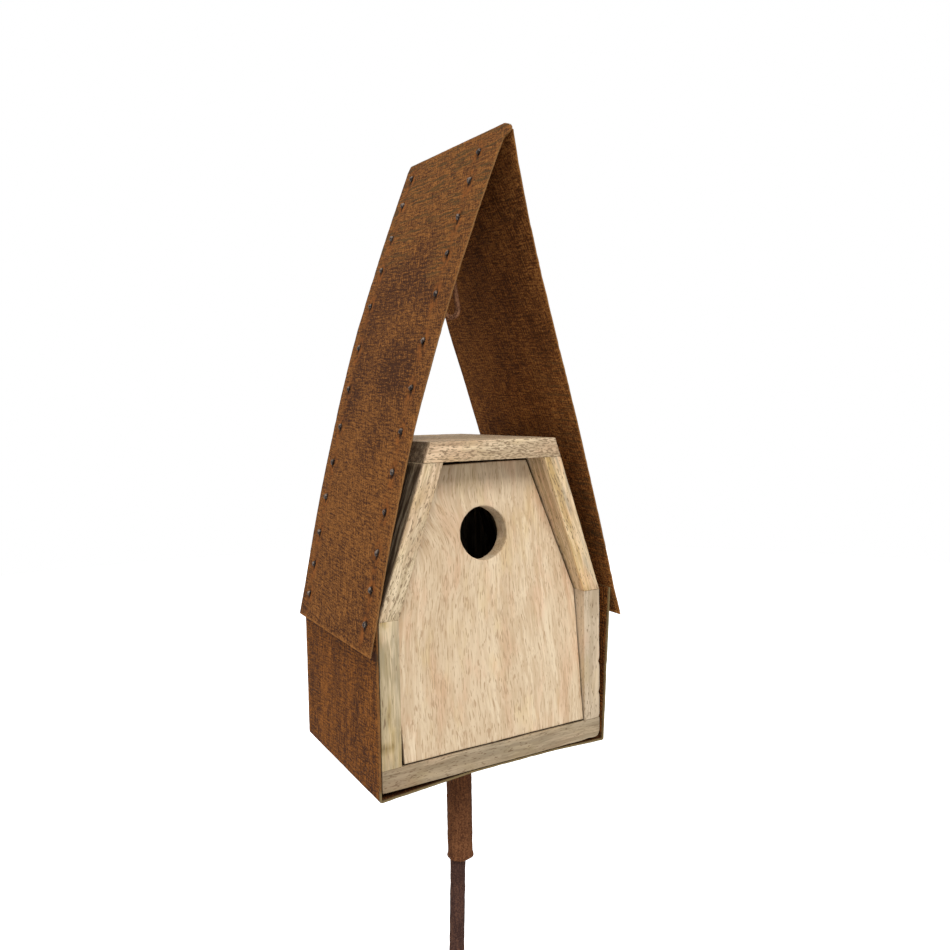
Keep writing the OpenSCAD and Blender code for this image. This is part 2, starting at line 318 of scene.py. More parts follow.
@dataclass(frozen=True)
class Block:
    """Flat block with rounded arrises, from 0 to its size along each axis."""

    size: Triple
    arris: float
    cells: Triple
    dense_end: float = 0.0

    def ticks(self, axis: int) -> np.ndarray:
        """Spaces the lattice lines along an axis.

        They lie close together on the rounded arrises, and evenly between them. On the first axis they
        may be twice as close over a stretch at the far end.

        Args:
            axis: Number of the axis.

        Returns:
            The places of the lines, from 0 to the size.
        """
        length, cell = self.size[axis], self.cells[axis]
        near = self.arris * ARRIS_TICKS
        if length < THIN_BLOCK * self.arris:
            near = near[:-1]
        inside = length - 2 * near[-1]
        count = max(1, round(inside / cell))
        between = near[-1] + inside * np.arange(1, count) / count
        if axis == 0 and self.dense_end:
            halves = between[:-1] + np.diff(between) / 2
            between = np.sort(np.concatenate([between, halves[halves > length - self.dense_end]]))
        return np.concatenate([near, between, length - near[::-1]])

    def surface(self) -> tuple[np.ndarray, np.ndarray]:
        """Gives the block's points and faces.

        The outer points of a three-way lattice are pulled on to the rounded block: each is clamped to
        the inner block that is smaller by the radius all round, and set one radius from there.

        Returns:
            The points in millimetres, and four point numbers for each face.
        """
        ticks = [self.ticks(axis) for axis in range(3)]
        counts = np.array([len(t) for t in ticks])
        strides = np.array([1, counts[0], counts[0] * counts[1]])
        faces = []
        for axis in range(3):
            one, two = (axis + 1) % 3, (axis + 2) % 3
            u, v = np.meshgrid(np.arange(counts[one] - 1), np.arange(counts[two] - 1), indexing="ij")
            for end in (0, 1):
                base = end * (counts[axis] - 1) * strides[axis] + u * strides[one] + v * strides[two]
                steps = [0, strides[one], strides[one] + strides[two], strides[two]]
                face = np.stack([base + step for step in steps], axis=-1).reshape(-1, 4)
                faces.append(face if end else face[:, ::-1])
        used, quads = np.unique(np.concatenate(faces), return_inverse=True)
        index = [used % counts[0], used // counts[0] % counts[1], used // (counts[0] * counts[1])]
        points = np.stack([ticks[axis][index[axis]] for axis in range(3)], axis=1)
        size = np.array(self.size)
        inner = np.clip(points, self.arris, size - self.arris)
        out = points - inner
        reach = np.maximum(np.linalg.norm(out, axis=1, keepdims=True), 1e-9)
        return inner + out * (self.arris / reach), quads.reshape(-1, 4)


def add_piece(
    name: str, shell: Shell, place: Place, finish: bpy.types.Material, slot: Slot, nodes: tuple[str, ...]
) -> bpy.types.Object:
    """Makes a shell into a Blender object that stands for CAD nodes.

    Args:
        name: Name of the object.
        shell: Its surface, in millimetres in the box's frame.
        place: Where the box's frame lies.
        finish: Its material.
        slot: The record's material slot; it is not used.
        nodes: The CAD nodes that it stands for.

    Returns:
        The object, which rides on the part's one body.
    """
    mesh = bpy.data.meshes.new(name)
    mesh.from_pydata(place.metres(shell.points).tolist(), [], shell.quads.tolist() + shell.caps)
    for mark, values in shell.marks.items():
        layer = mesh.attributes.new(mark, "FLOAT_VECTOR", "POINT")
        layer.data.foreach_set("vector", np.ascontiguousarray(values, np.float32).ravel())
    mesh.shade_smooth()
    mesh.materials.append(finish)
    mesh.validate()
    mesh.update()
    made = bpy.data.objects.new(name, mesh)
    bpy.context.scene.collection.objects.link(made)
    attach(made, BODY)
    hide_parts(*nodes)
    log.info("%s: %d faces", name, len(mesh.polygons))
    return made


# ---- Shader graphs ----


class Graph:
    """Short calls for building one node tree."""

    def __init__(self, tree: bpy.types.NodeTree) -> None:
        """Keeps the tree that the nodes go into."""
        self.tree = tree

    def feed(self, socket: Socket, value: object) -> None:
        """Links another node's socket, or sets a plain value.

        Args:
            socket: The input.
            value: A socket, or a number or colour.
        """
        if isinstance(value, Socket):
            self.tree.links.new(value, socket)
        else:
            socket.default_value = value

    def node(self, kind: str, inputs: dict | None = None, **settings: object) -> bpy.types.Node:
        """Adds a node.

        Args:
            kind: Blender's name for the type of node.
            inputs: Sockets or values by input name or number.
            **settings: The node's own settings.

        Returns:
            The node.
        """
        made = self.tree.nodes.new(kind)
        for setting, value in settings.items():
            setattr(made, setting, value)
        for socket, value in (inputs or {}).items():
            self.feed(made.inputs[socket], value)
        return made

    def math(self, operation: str, a: object, b: object = 0.0, clamp: bool = False) -> Socket:
        """Adds one sum on numbers."""
        return self.node("ShaderNodeMath", {0: a, 1: b}, operation=operation, use_clamp=clamp).outputs[0]

    def plus(self, a: object, b: object, clamp: bool = False) -> Socket:
        """Adds two numbers."""
        return self.math("ADD", a, b, clamp)

    def minus(self, a: object, b: object, clamp: bool = False) -> Socket:
        """Takes the second number from the first."""
        return self.math("SUBTRACT", a, b, clamp)

    def times(self, a: object, b: object, clamp: bool = False) -> Socket:
        """Multiplies two numbers."""
        return self.math("MULTIPLY", a, b, clamp)

    def vector_math(self, operation: str, a: object, b: object, c: object = (0, 0, 0)) -> Socket:
        """Adds one sum on vectors.

        Args:
            operation: Blender's name for it.
            a: First vector.
            b: Second vector.
            c: What a product is added to, where the operation has a third input.

        Returns:
            The result.
        """
        made = self.node("ShaderNodeVectorMath", {0: a, 1: b}, operation=operation)
        if operation == "MULTIPLY_ADD":
            self.feed(made.inputs[2], c)
        return made.outputs[0]

    def noise(
        self, vector: object, scale: float | Triple, detail: float = 2.0, rough: float = 0.5
    ) -> bpy.types.Node:
        """Adds a noise texture.

        Args:
            vector: Where it is read.
            scale: Cells in a metre, the same all round or one number for each axis.
            detail: Number of finer layers.
            rough: Weight of the finer layers.

        Returns:
            The node, with its number and its colour output.
        """
        if isinstance(scale, tuple):
            vector, scale = self.vector_math("MULTIPLY", vector, scale), 1.0
        inputs = {"Vector": vector, "Scale": scale, "Detail": detail, "Roughness": rough}
        return self.node("ShaderNodeTexNoise", inputs)

    def cloud(self, vector: object, scale: float | Triple, detail: float = 2.0, rough: float = 0.5) -> Socket:
        """Adds a noise texture and gives its number output."""
        return self.noise(vector, scale, detail, rough).outputs[0]

    def band(
        self, value: object, low: float, high: float, start: float = 0.0, end: float = 1.0
    ) -> Socket:
        """Maps low..high smoothly to start..end, and holds it there outside."""
        inputs = {"Value": value, "From Min": low, "From Max": high, "To Min": start, "To Max": end}
        return self.node("ShaderNodeMapRange", inputs, interpolation_type="SMOOTHSTEP").outputs[0]

    def lines(self, across: object, pitch: float, breaks: object) -> Socket:
        """Draws wandering broken lines.

        Args:
            across: Place across the lines, in metres.
            pitch: Distance between two lines, in metres.
            breaks: Noise that breaks the lines up and shifts them.

        Returns:
            1 on a line and 0 beside it.
        """
        turn = self.plus(self.times(across, 2 * math.pi / pitch), self.times(breaks, 7.0))
        wave = self.band(self.math("SINE", turn), -0.1, 0.9)
        return self.times(wave, self.band(breaks, 0.40, 0.56))

    def mix(self, factor: object, a: object, b: object, blend: str = "MIX") -> Socket:
        """Mixes two colours.

        Args:
            factor: Share of the second.
            a: First colour.
            b: Second colour.
            blend: Blender's name for the way they are blended.

        Returns:
            The mixed colour.
        """
        made = self.node("ShaderNodeMix", data_type="RGBA", blend_type=blend, clamp_factor=True)
        for number, value in ((0, factor), (6, a), (7, b)):
            self.feed(made.inputs[number], (*value, 1.0) if isinstance(value, tuple) else value)
        return made.outputs[2]

    def parts(self, vector: object) -> list[Socket]:
        """Splits a vector into its three numbers."""
        return list(self.node("ShaderNodeSeparateXYZ", {0: vector}).outputs)

    def mark(self, name: str) -> Socket:
        """Reads a named mark of the mesh as a vector."""
        return self.node("ShaderNodeAttribute", attribute_name=name).outputs["Vector"]


class SocketKind(Enum):
    """Kinds of group socket."""

    NUMBER = "NodeSocketFloat"
    VECTOR = "NodeSocketVector"
    COLOUR = "NodeSocketColor"


def new_group(
    name: str, inputs: dict[str, SocketKind], outputs: dict[str, SocketKind]
) -> tuple[Graph, dict, dict]:
    """Starts a shader node group.

    Args:
        name: Name of the group.
        inputs: Kind of each input by name.
        outputs: Kind of each output by name.

    Returns:
        Its graph, the inner ends of its inputs by name, and those of its outputs.
    """
    tree = bpy.data.node_groups.new(name, "ShaderNodeTree")
    for title, kind in inputs.items():
        tree.interface.new_socket(name=title, in_out="INPUT", socket_type=kind.value)
    for title, kind in outputs.items():
        tree.interface.new_socket(name=title, in_out="OUTPUT", socket_type=kind.value)
    start = tree.nodes.new("NodeGroupInput")
    end = tree.nodes.new("NodeGroupOutput")
    return (
        Graph(tree),
        {title: start.outputs[title] for title in inputs},
        {title: end.inputs[title] for title in outputs},
    )


SKIN_OUTPUTS = {"Color": SocketKind.COLOUR, "Roughness": SocketKind.NUMBER, "Height": SocketKind.NUMBER}


OLIVE_STREAK = (0.078, 0.052, 0.022)
DARK_FLECK = (0.020, 0.009, 0.007)
NAIL_HALO = (0.34, 0.115, 0.028)
NAIL_SCRATCH = (0.028, 0.012, 0.009)
# Dark foot round a nail: rust stain and painted shadow.
NAIL_FOOT_STAIN_AND_SHADE = (0.016, 0.007, 0.005)
CUT_EDGE = ((0.15, 0.105, 0.048), (0.36, 0.27, 0.13))


def rust_group() -> bpy.types.NodeTree:
    """Builds the rust that the sheets and rods share.

    A tone is summed from three sizes of mottle, a fine weave of short upright and level marks and, where
    water ran, tall runs. It is lowered where the piece is dull and along two sets of fine lines, and looked
    up between the dark, the brown and the bright rust; on the tray's upper band the dullness is painted
    shade under the eave. Olive streaks lie where the sheet was rolled, and small flecks are bright or dark.
    Edges turn brighter; the same channel paints a highlight on each nail's crown and shade on its skirt,
    and a shadow on the tray under the eave and under the box. A nail has a bright scratched halo and a
    dark foot, the foot partly rust stain and partly painted shadow, and cut edges take an ochre brown.

    Returns:
        The node group.
    """
    g, start, end = new_group(
        "rust_skin",
        {
            "Skin": SocketKind.VECTOR, "Wear": SocketKind.VECTOR, "Zone": SocketKind.VECTOR,
            "Dark": SocketKind.COLOUR, "Brown": SocketKind.COLOUR, "Bright": SocketKind.COLOUR,
            "Lines": SocketKind.NUMBER, "Slant": SocketKind.NUMBER, "Gloss": SocketKind.NUMBER,
        },
        SKIN_OUTPUTS,
    )
    # edge: brighter worn rims, plus painted highlight and shade on nail heads and painted shadow on the tray.
    # nail: the rust halo, and a dark foot that is partly painted shadow.
    edge, nail, cut = g.parts(start["Wear"])
    dull, rolled, upright_zone = g.parts(start["Zone"])
    drift = g.noise(start["Skin"], 110.0, 2.0).outputs["Color"]
    skin = g.vector_math("MULTIPLY_ADD", drift, (0.0026, 0.0026, 0.0), start["Skin"])
    mottle = g.cloud(skin, 32.0, 4.0, 0.6)
    patch = g.cloud(skin, 170.0, 4.0, 0.62)
    grain = g.cloud(skin, 1000.0, 3.0, 0.7)
    ahead, up, deep = g.parts(skin)
    slanted = g.minus(ahead, g.times(up, start["Slant"]))
    level = g.minus(up, g.times(ahead, 0.07))
    uprights = g.lines(slanted, 0.0023, g.cloud(skin, (330.0, 110.0, 30.0), 2.0))
    levels = g.lines(level, 0.0025, g.cloud(skin, (100.0, 360.0, 30.0), 2.0))
    woven = g.node("ShaderNodeCombineXYZ", {0: slanted, 1: level, 2: deep}).outputs[0]
    warp = g.cloud(woven, (1050.0, 120.0, 30.0), 2.0, 0.65)
    weft = g.cloud(woven, (120.0, 1050.0, 30.0), 2.0, 0.65)
    weave = g.plus(warp, weft)
    streak = g.cloud(woven, (30.0, 560.0, 30.0), 3.0, 0.6)

    smear = g.times(dull, g.band(patch, 0.42, 0.58, 0.82, 1.06))
    drawn = g.times(uprights, g.math("MAXIMUM", dull, upright_zone))
    crossed = g.times(levels, g.math("MAXIMUM", dull, 0.45))
    lines = g.times(g.math("MAXIMUM", drawn, crossed), start["Lines"])
    runs = g.times(g.cloud(woven, (105.0, 11.0, 30.0), 3.0, 0.6), upright_zone)
    tone = g.plus(g.times(mottle, 0.5), g.times(patch, 0.42))
    tone = g.plus(tone, g.times(grain, 3.9))
    washed = g.minus(runs, g.times(upright_zone, 0.5))
    tone = g.plus(tone, g.times(washed, 1.8))
    reach = g.plus(g.plus(1.2, start["Lines"]), g.times(dull, 0.6))
    tone = g.plus(tone, g.times(g.minus(weave, 1.0), reach))
    tone = g.minus(tone, 1.87)
    tone = g.minus(tone, g.times(smear, 0.27))
    tone = g.minus(tone, g.times(lines, 0.55))
    # Worn rims turn brighter here, and the painted highlight and shade of the nails and the tray take effect.
    tone = g.plus(tone, g.times(edge, 0.25))
    colour = g.mix(g.times(tone, 2.0, clamp=True), start["Dark"], start["Brown"])
    colour = g.mix(g.minus(g.times(tone, 1.6), 0.8, clamp=True), colour, start["Bright"])
    olive = g.times(g.band(streak, 0.51, 0.58), rolled)
    colour = g.mix(g.times(olive, 0.7), colour, OLIVE_STREAK)
    fleck = g.cloud(start["Skin"], 620.0, 2.0, 0.6)
    colour = g.mix(g.band(fleck, 0.64, 0.74, 0.0, 0.6), colour, start["Bright"])
    colour = g.mix(g.band(fleck, 0.36, 0.27, 0.0, 0.75), colour, DARK_FLECK)

    halo = g.times(g.times(nail, g.minus(1.0, nail)), 3.4)
    colour = g.mix(g.times(halo, g.band(patch, 0.42, 0.58)), colour, NAIL_HALO)
    scratched = g.times(halo, g.band(warp, 0.53, 0.60))
    colour = g.mix(g.times(scratched, 0.85), colour, NAIL_SCRATCH)
    # Dark foot round each nail, partly rust stain and partly painted shadow.
    colour = g.mix(g.band(nail, 0.62, 0.90, 0.0, 0.9), colour, NAIL_FOOT_STAIN_AND_SHADE)
    ochre = g.mix(grain, *CUT_EDGE)
    colour = g.mix(g.times(cut, 0.95), colour, ochre)
    g.feed(end["Color"], colour)
    g.feed(end["Roughness"], g.minus(g.band(tone, 0.2, 0.9, 0.75, 0.92), start["Gloss"]))
    height = g.plus(g.times(weave, 0.4), g.times(grain, 0.6))
    g.feed(end["Height"], g.minus(height, g.times(lines, 0.2)))
    return g.tree


PINK_WASH = (1.0, 0.83, 0.78)
STRAW_WASH = (0.99, 0.95, 0.74)
SAPWOOD_WASH = (1.0, 0.90, 0.58)
WEATHERED = ((0.22, 0.185, 0.13), (0.52, 0.455, 0.34))
# Colour of the third tint: real grime at board ends and stains, and painted shade on faces inside the box and
# under the roof.
OLD_DIRT_AND_SHADE = (0.055, 0.033, 0.018)


def wood_group() -> bpy.types.NodeTree:
    """Builds the bare wood that the boards and panels share.

    Grain is a vector with x along the fibres. Broad bands, strands and fine fibres lie between the light
    and the dark wood, with faint pale, pink and straw patches, and open pores are short dark dashes. Tint
    puts on yellow sapwood, grey weathering, and a darkening that is real grime at board ends and stains
    and painted shade on faces inside the box and under the roof.

    Returns:
        The node group.
    """
    g, start, end = new_group(
        "bare_wood",
        {
            "Grain": SocketKind.VECTOR, "Tint": SocketKind.VECTOR,
            "Light": SocketKind.COLOUR, "Dark": SocketKind.COLOUR, "Pore": SocketKind.COLOUR,
            "Pore Length": SocketKind.NUMBER, "Pores": SocketKind.NUMBER, "Bands": SocketKind.NUMBER,
        },
        SKIN_OUTPUTS,
    )
    yellow, grey, dirt_and_shade = g.parts(start["Tint"])
    drift = g.noise(start["Grain"], (28.0, 60.0, 60.0), 2.0).outputs["Color"]
    grain = g.vector_math("MULTIPLY_ADD", drift, (0.0, 0.0045, 0.0045), start["Grain"])
    bands = g.cloud(grain, (6.0, 95.0, 95.0), 3.0, 0.55)
    strands = g.cloud(grain, (24.0, 330.0, 330.0), 3.0, 0.6)
    fibres = g.cloud(grain, (52.0, 1050.0, 1050.0), 2.0, 0.65)
    patch = g.noise(grain, (22.0, 60.0, 60.0), 3.0, 0.6)
    patches = g.parts(patch.outputs["Color"])
    length = g.node("ShaderNodeCombineXYZ", {0: start["Pore Length"], 1: 1.0, 2: 1.0}).outputs[0]
    stretched = g.vector_math("MULTIPLY", grain, length)
    pore_field = g.cloud(stretched, (1.0, 1400.0, 1400.0), 1.0, 0.5)
    limit = g.minus(0.74, g.times(start["Pores"], 0.18))
    limit = g.minus(limit, g.times(g.minus(bands, 0.5), 0.3))
    pores = g.math("DIVIDE", g.minus(pore_field, limit), 0.06, clamp=True)

    figure = g.times(g.band(bands, 0.38, 0.64), start["Bands"])
    colour = g.mix(figure, start["Light"], start["Dark"])
    colour = g.mix(g.band(strands, 0.45, 0.60, 0.0, 0.6), colour, start["Dark"])
    colour = g.mix(g.band(fibres, 0.48, 0.61, 0.0, 0.6), colour, start["Dark"])
    colour = g.mix(g.band(patches[0], 0.48, 0.68, 0.0, 0.4), colour, start["Light"])
    colour = g.mix(g.band(patches[1], 0.48, 0.66, 0.0, 0.45), colour, PINK_WASH, "MULTIPLY")
    colour = g.mix(g.band(patches[2], 0.50, 0.70, 0.0, 0.5), colour, STRAW_WASH, "MULTIPLY")
    sapwood = g.times(yellow, g.band(strands, 0.36, 0.60, 0.45, 1.1), clamp=True)
    colour = g.mix(sapwood, colour, SAPWOOD_WASH, "MULTIPLY")
    weathered = g.mix(fibres, *WEATHERED)
    colour = g.mix(g.times(grey, 0.8), colour, weathered)
    colour = g.mix(g.times(pores, 0.8), colour, start["Pore"])
    # Third tint: real grime, and painted shade on faces inside the box and under the roof.
    dirt_and_shade_amount = g.times(dirt_and_shade, g.band(strands, 0.36, 0.60, 0.72, 1.18), clamp=True)
    colour = g.mix(dirt_and_shade_amount, colour, OLD_DIRT_AND_SHADE)
    g.feed(end["Color"], colour)
    g.feed(end["Roughness"], g.band(fibres, 0.3, 0.7, 0.66, 0.85))
    height = g.plus(g.times(fibres, 0.3), g.times(strands, 0.3))
    g.feed(end["Height"], g.minus(height, g.times(pores, 0.6)))
    return g.tree


@dataclass(frozen=True)
class Finish:
    """One material: the colours and values it gives to a shared group."""

    name: str
    colours: dict[str, Colour]
    values: dict[str, float]
    marks: dict[str, str]
    bump: float
    bump_depth: float
    specular: float = 0.04
    metallic: float = 0.0

    def material(self, group: bpy.types.NodeTree) -> bpy.types.Material:
        """Builds the material round its group.

        Args:
            group: The shared node group.

        Returns:
            The material.
        """
        made = bpy.data.materials.new(self.name)
        made.use_nodes = True
        g = Graph(made.node_tree)
        shader = next(n for n in made.node_tree.nodes if n.type == "BSDF_PRINCIPLED")
        skin = g.node("ShaderNodeGroup", node_tree=group)
        for title, mark in self.marks.items():
            g.feed(skin.inputs[title], g.mark(mark))
        for title, colour in self.colours.items():
            skin.inputs[title].default_value = (*colour, 1.0)
        for title, value in self.values.items():
            skin.inputs[title].default_value = value
        bump = g.node("ShaderNodeBump", {"Strength": self.bump, "Distance": self.bump_depth * MM})
        g.feed(bump.inputs["Height"], skin.outputs["Height"])
        g.feed(shader.inputs["Base Color"], skin.outputs["Color"])
        g.feed(shader.inputs["Roughness"], skin.outputs["Roughness"])
        g.feed(shader.inputs["Normal"], bump.outputs["Normal"])
        shader.inputs["Specular IOR Level"].default_value = self.specular
        shader.inputs["Metallic"].default_value = self.metallic
        return made


WOOD_MARKS = {"Grain": "grain", "Tint": "tint"}
RUST_MARKS = {"Skin": "skin", "Wear": "wear", "Zone": "zone"}


def wood_finish(
    name: str, light: Colour, dark: Colour, pore: Colour, pore_length: float, pores: float, bands: float
) -> Finish:
    """Describes a bare wood.

    Args:
        name: Name of the material.
        light: Colour of the pale wood.
        dark: Colour of the dark bands and fibres.
        pore: Colour of the open pores.
        pore_length: Length of a pore, in millimetres.
        pores: How many pores there are, from 0 to 1.
        bands: How strongly the bands show, from 0 to 1.

    Returns:
        The finish.
    """
    return Finish(
        name,
        {"Light": light, "Dark": dark, "Pore": pore},
        {"Pore Length": 1000.0 / pore_length, "Pores": pores, "Bands": bands},
        WOOD_MARKS,
        bump=0.35,
        bump_depth=0.25,
    )


def rust_finish(
    name: str, colours: Rust, lines: float, slant: float = 0.0, gloss: float = 0.0, **more: float
) -> Finish:
    """Describes a rusted steel.

    Args:
        name: Name of the material.
        colours: Colours of the old dark rust, of most of it and of the fresh rust.
        lines: How strongly its fine lines show, from 0 to 1.
        slant: How far the uprights among them lean, sideways for each length upwards.
        gloss: How much smoother than plain rust it is.
        **more: Specular and metal of the shader.

    Returns:
        The finish.
    """
    named = dict(zip(("Dark", "Brown", "Bright"), colours))
    values = {"Lines": lines, "Slant": slant, "Gloss": gloss}
    return Finish(name, named, values, RUST_MARKS, bump=0.6, bump_depth=0.5, **more)


# ---- Wooden box ----


@dataclass(frozen=True)
class Chip:
    """A nick in a board: its place, the radius it fades over, and how far it draws the middle."""

    at: Triple
    radius: float
    pull: Triple


@dataclass(frozen=True)
class Board:
    """A board whose front is a four-cornered outline, with its fibres along its first edge."""

    name: str
    corners: tuple[tuple[float, float], ...]
    depth: float
    seed: int
    chips: tuple[Chip, ...] = ()
    arris: float = 0.35
    cell: float = 2.0

    def shell(self, tint: Tint) -> Shell:
        """Lays a rounded block into the outline.

        A point's place along the length and across the thickness is blended between the outline's four
        corners in x and z, and its depth is y. The faces are uneven by a few hundredths of a millimetre.
        Each chip pulls the points about its place by a bell curve of their distance.

        Args:
            tint: Gives the yellow, grey and dirt of points on the block, as shares of its size.

        Returns:
            The shell, with its grain and tint marks.
        """
        corner = [np.array(c, float) for c in self.corners]
        length = np.linalg.norm(corner[1] - corner[0] + corner[2] - corner[3]) / 2
        thick = np.linalg.norm(corner[3] - corner[0] + corner[2] - corner[1]) / 2
        size = (length, self.depth, thick)
        points, quads = Block(size, self.arris, (self.cell, self.cell, 1.5)).surface()
        share = points / np.array(size)
        u, w = share[:, :1], share[:, 2:]
        flat = (
            corner[0] * (1 - u) * (1 - w)
            + corner[1] * u * (1 - w)
            + corner[2] * u * w
            + corner[3] * (1 - u) * w
        )
        placed = columns(flat[:, 0], points[:, 1], flat[:, 1])
        rng = np.random.default_rng(self.seed)
        shell = Shell(placed, quads)
        shell.marks["grain"] = (points + rng.uniform(-500, 500, 3)) * MM
        shell.marks["tint"] = tint(share)
        shell.outward()
        uneven = relief(placed, (self.seed, 30, 0.05), (self.seed + 1, 7, 0.03))
        shell.roughened(np.minimum(uneven - 0.06, 0.0))
        for chip in self.chips:
            bell = np.exp(-((shell.points - np.array(chip.at)) ** 2).sum(axis=1) / chip.radius**2)
            shell.points = shell.points + bell[:, None] * np.array(chip.pull)
        return shell


def near_ends(share: np.ndarray) -> np.ndarray:
    """Gives 1 at a board's two ends, fading over a few hundredths of its length."""
    return np.exp(-np.minimum(share[:, 0], 1 - share[:, 0]) * 40)


def plain_tint(
    yellow: float = 0.0, grey: float = 0.0, dirt_and_shade: float = 0.0, side: float = 0.0
) -> Tint:
    """Gives a tint that is mostly even, gathers grime at the board's two ends and can paint shade on one
    side.

    Args:
        yellow: Share of yellow sapwood.
        grey: Share of grey weathering.
        dirt_and_shade: Share of dirt at the ends.
        side: Share of painted shade on the outer side or the first end, away from the front.

    Returns:
        A function from shares of the block's size to the three tints.
    """

    def tint(share: np.ndarray) -> np.ndarray:
        """Works out the tint: each share times its own slow waves, the grime falling off the ends, and
        painted shade on the side.

        Args:
            share: Points as shares of the board's size.

        Returns:
            The yellow, grey and dirt of each point.
        """
        slow = Waves(71, 1.1, 12).at(share * np.array([2.0, 1.0, 1.0]))
        away = smooth(share[:, 1], 0.004, 0.02)
        # Painted shade: the face at the start of the thickness (the left slope's outer face, the top board's
        # underside) and the first end, where the roof shades them.
        outside = np.maximum(smooth(-share[:, 2], -0.06, -0.01) * (1 - smooth(share[:, 0], 0.99, 1.0)), 0)
        painted_shade = side * away * np.maximum(outside, smooth(-share[:, 0], -0.03, -0.005))
        end_dirt_and_side_shade = np.maximum(dirt_and_shade * near_ends(share), painted_shade)
        return columns(yellow * smooth(slow, -0.5, 1.5), grey * smooth(-slow, -1.5, 1.0), end_dirt_and_side_shade)

    return tint


def edge_tint(from_thick: float, to_thick: float, grey: float) -> Tint:
    """Gives a tint with yellow sapwood along one long edge and grey streaks along the other.

    Args:
        from_thick: Share of the thickness at which the sapwood starts.
        to_thick: Share of the thickness at which it is full.
        grey: Share of grey on the other side.

    Returns:
        A function from shares of the block's size to the three tints.
    """

    def tint(share: np.ndarray) -> np.ndarray:
        """Works out the tint: sapwood eased in across the thickness, and grey where there is none.

        Args:
            share: Points as shares of the board's size.

        Returns:
            The yellow, grey and dirt of each point.
        """
        wander = Waves(83, 0.8, 12).at(share * np.array([3.0, 0.3, 0.3])) * 0.06
        inner = smooth(share[:, 2] + wander, from_thick, to_thick)
        front = smooth(-share[:, 1], -0.02, -0.004)
        streak = smooth(Waves(84, 0.16, 16).at(share * np.array([0.5, 1.0, 1.0])), 0.2, 1.6)
        dirt_and_shade = np.maximum(near_ends(share) * 0.15, 0.16 * inner * (1 - front))
        return columns(0.5 * inner * front, (1 - inner) * (grey * streak), dirt_and_shade)

    return tint


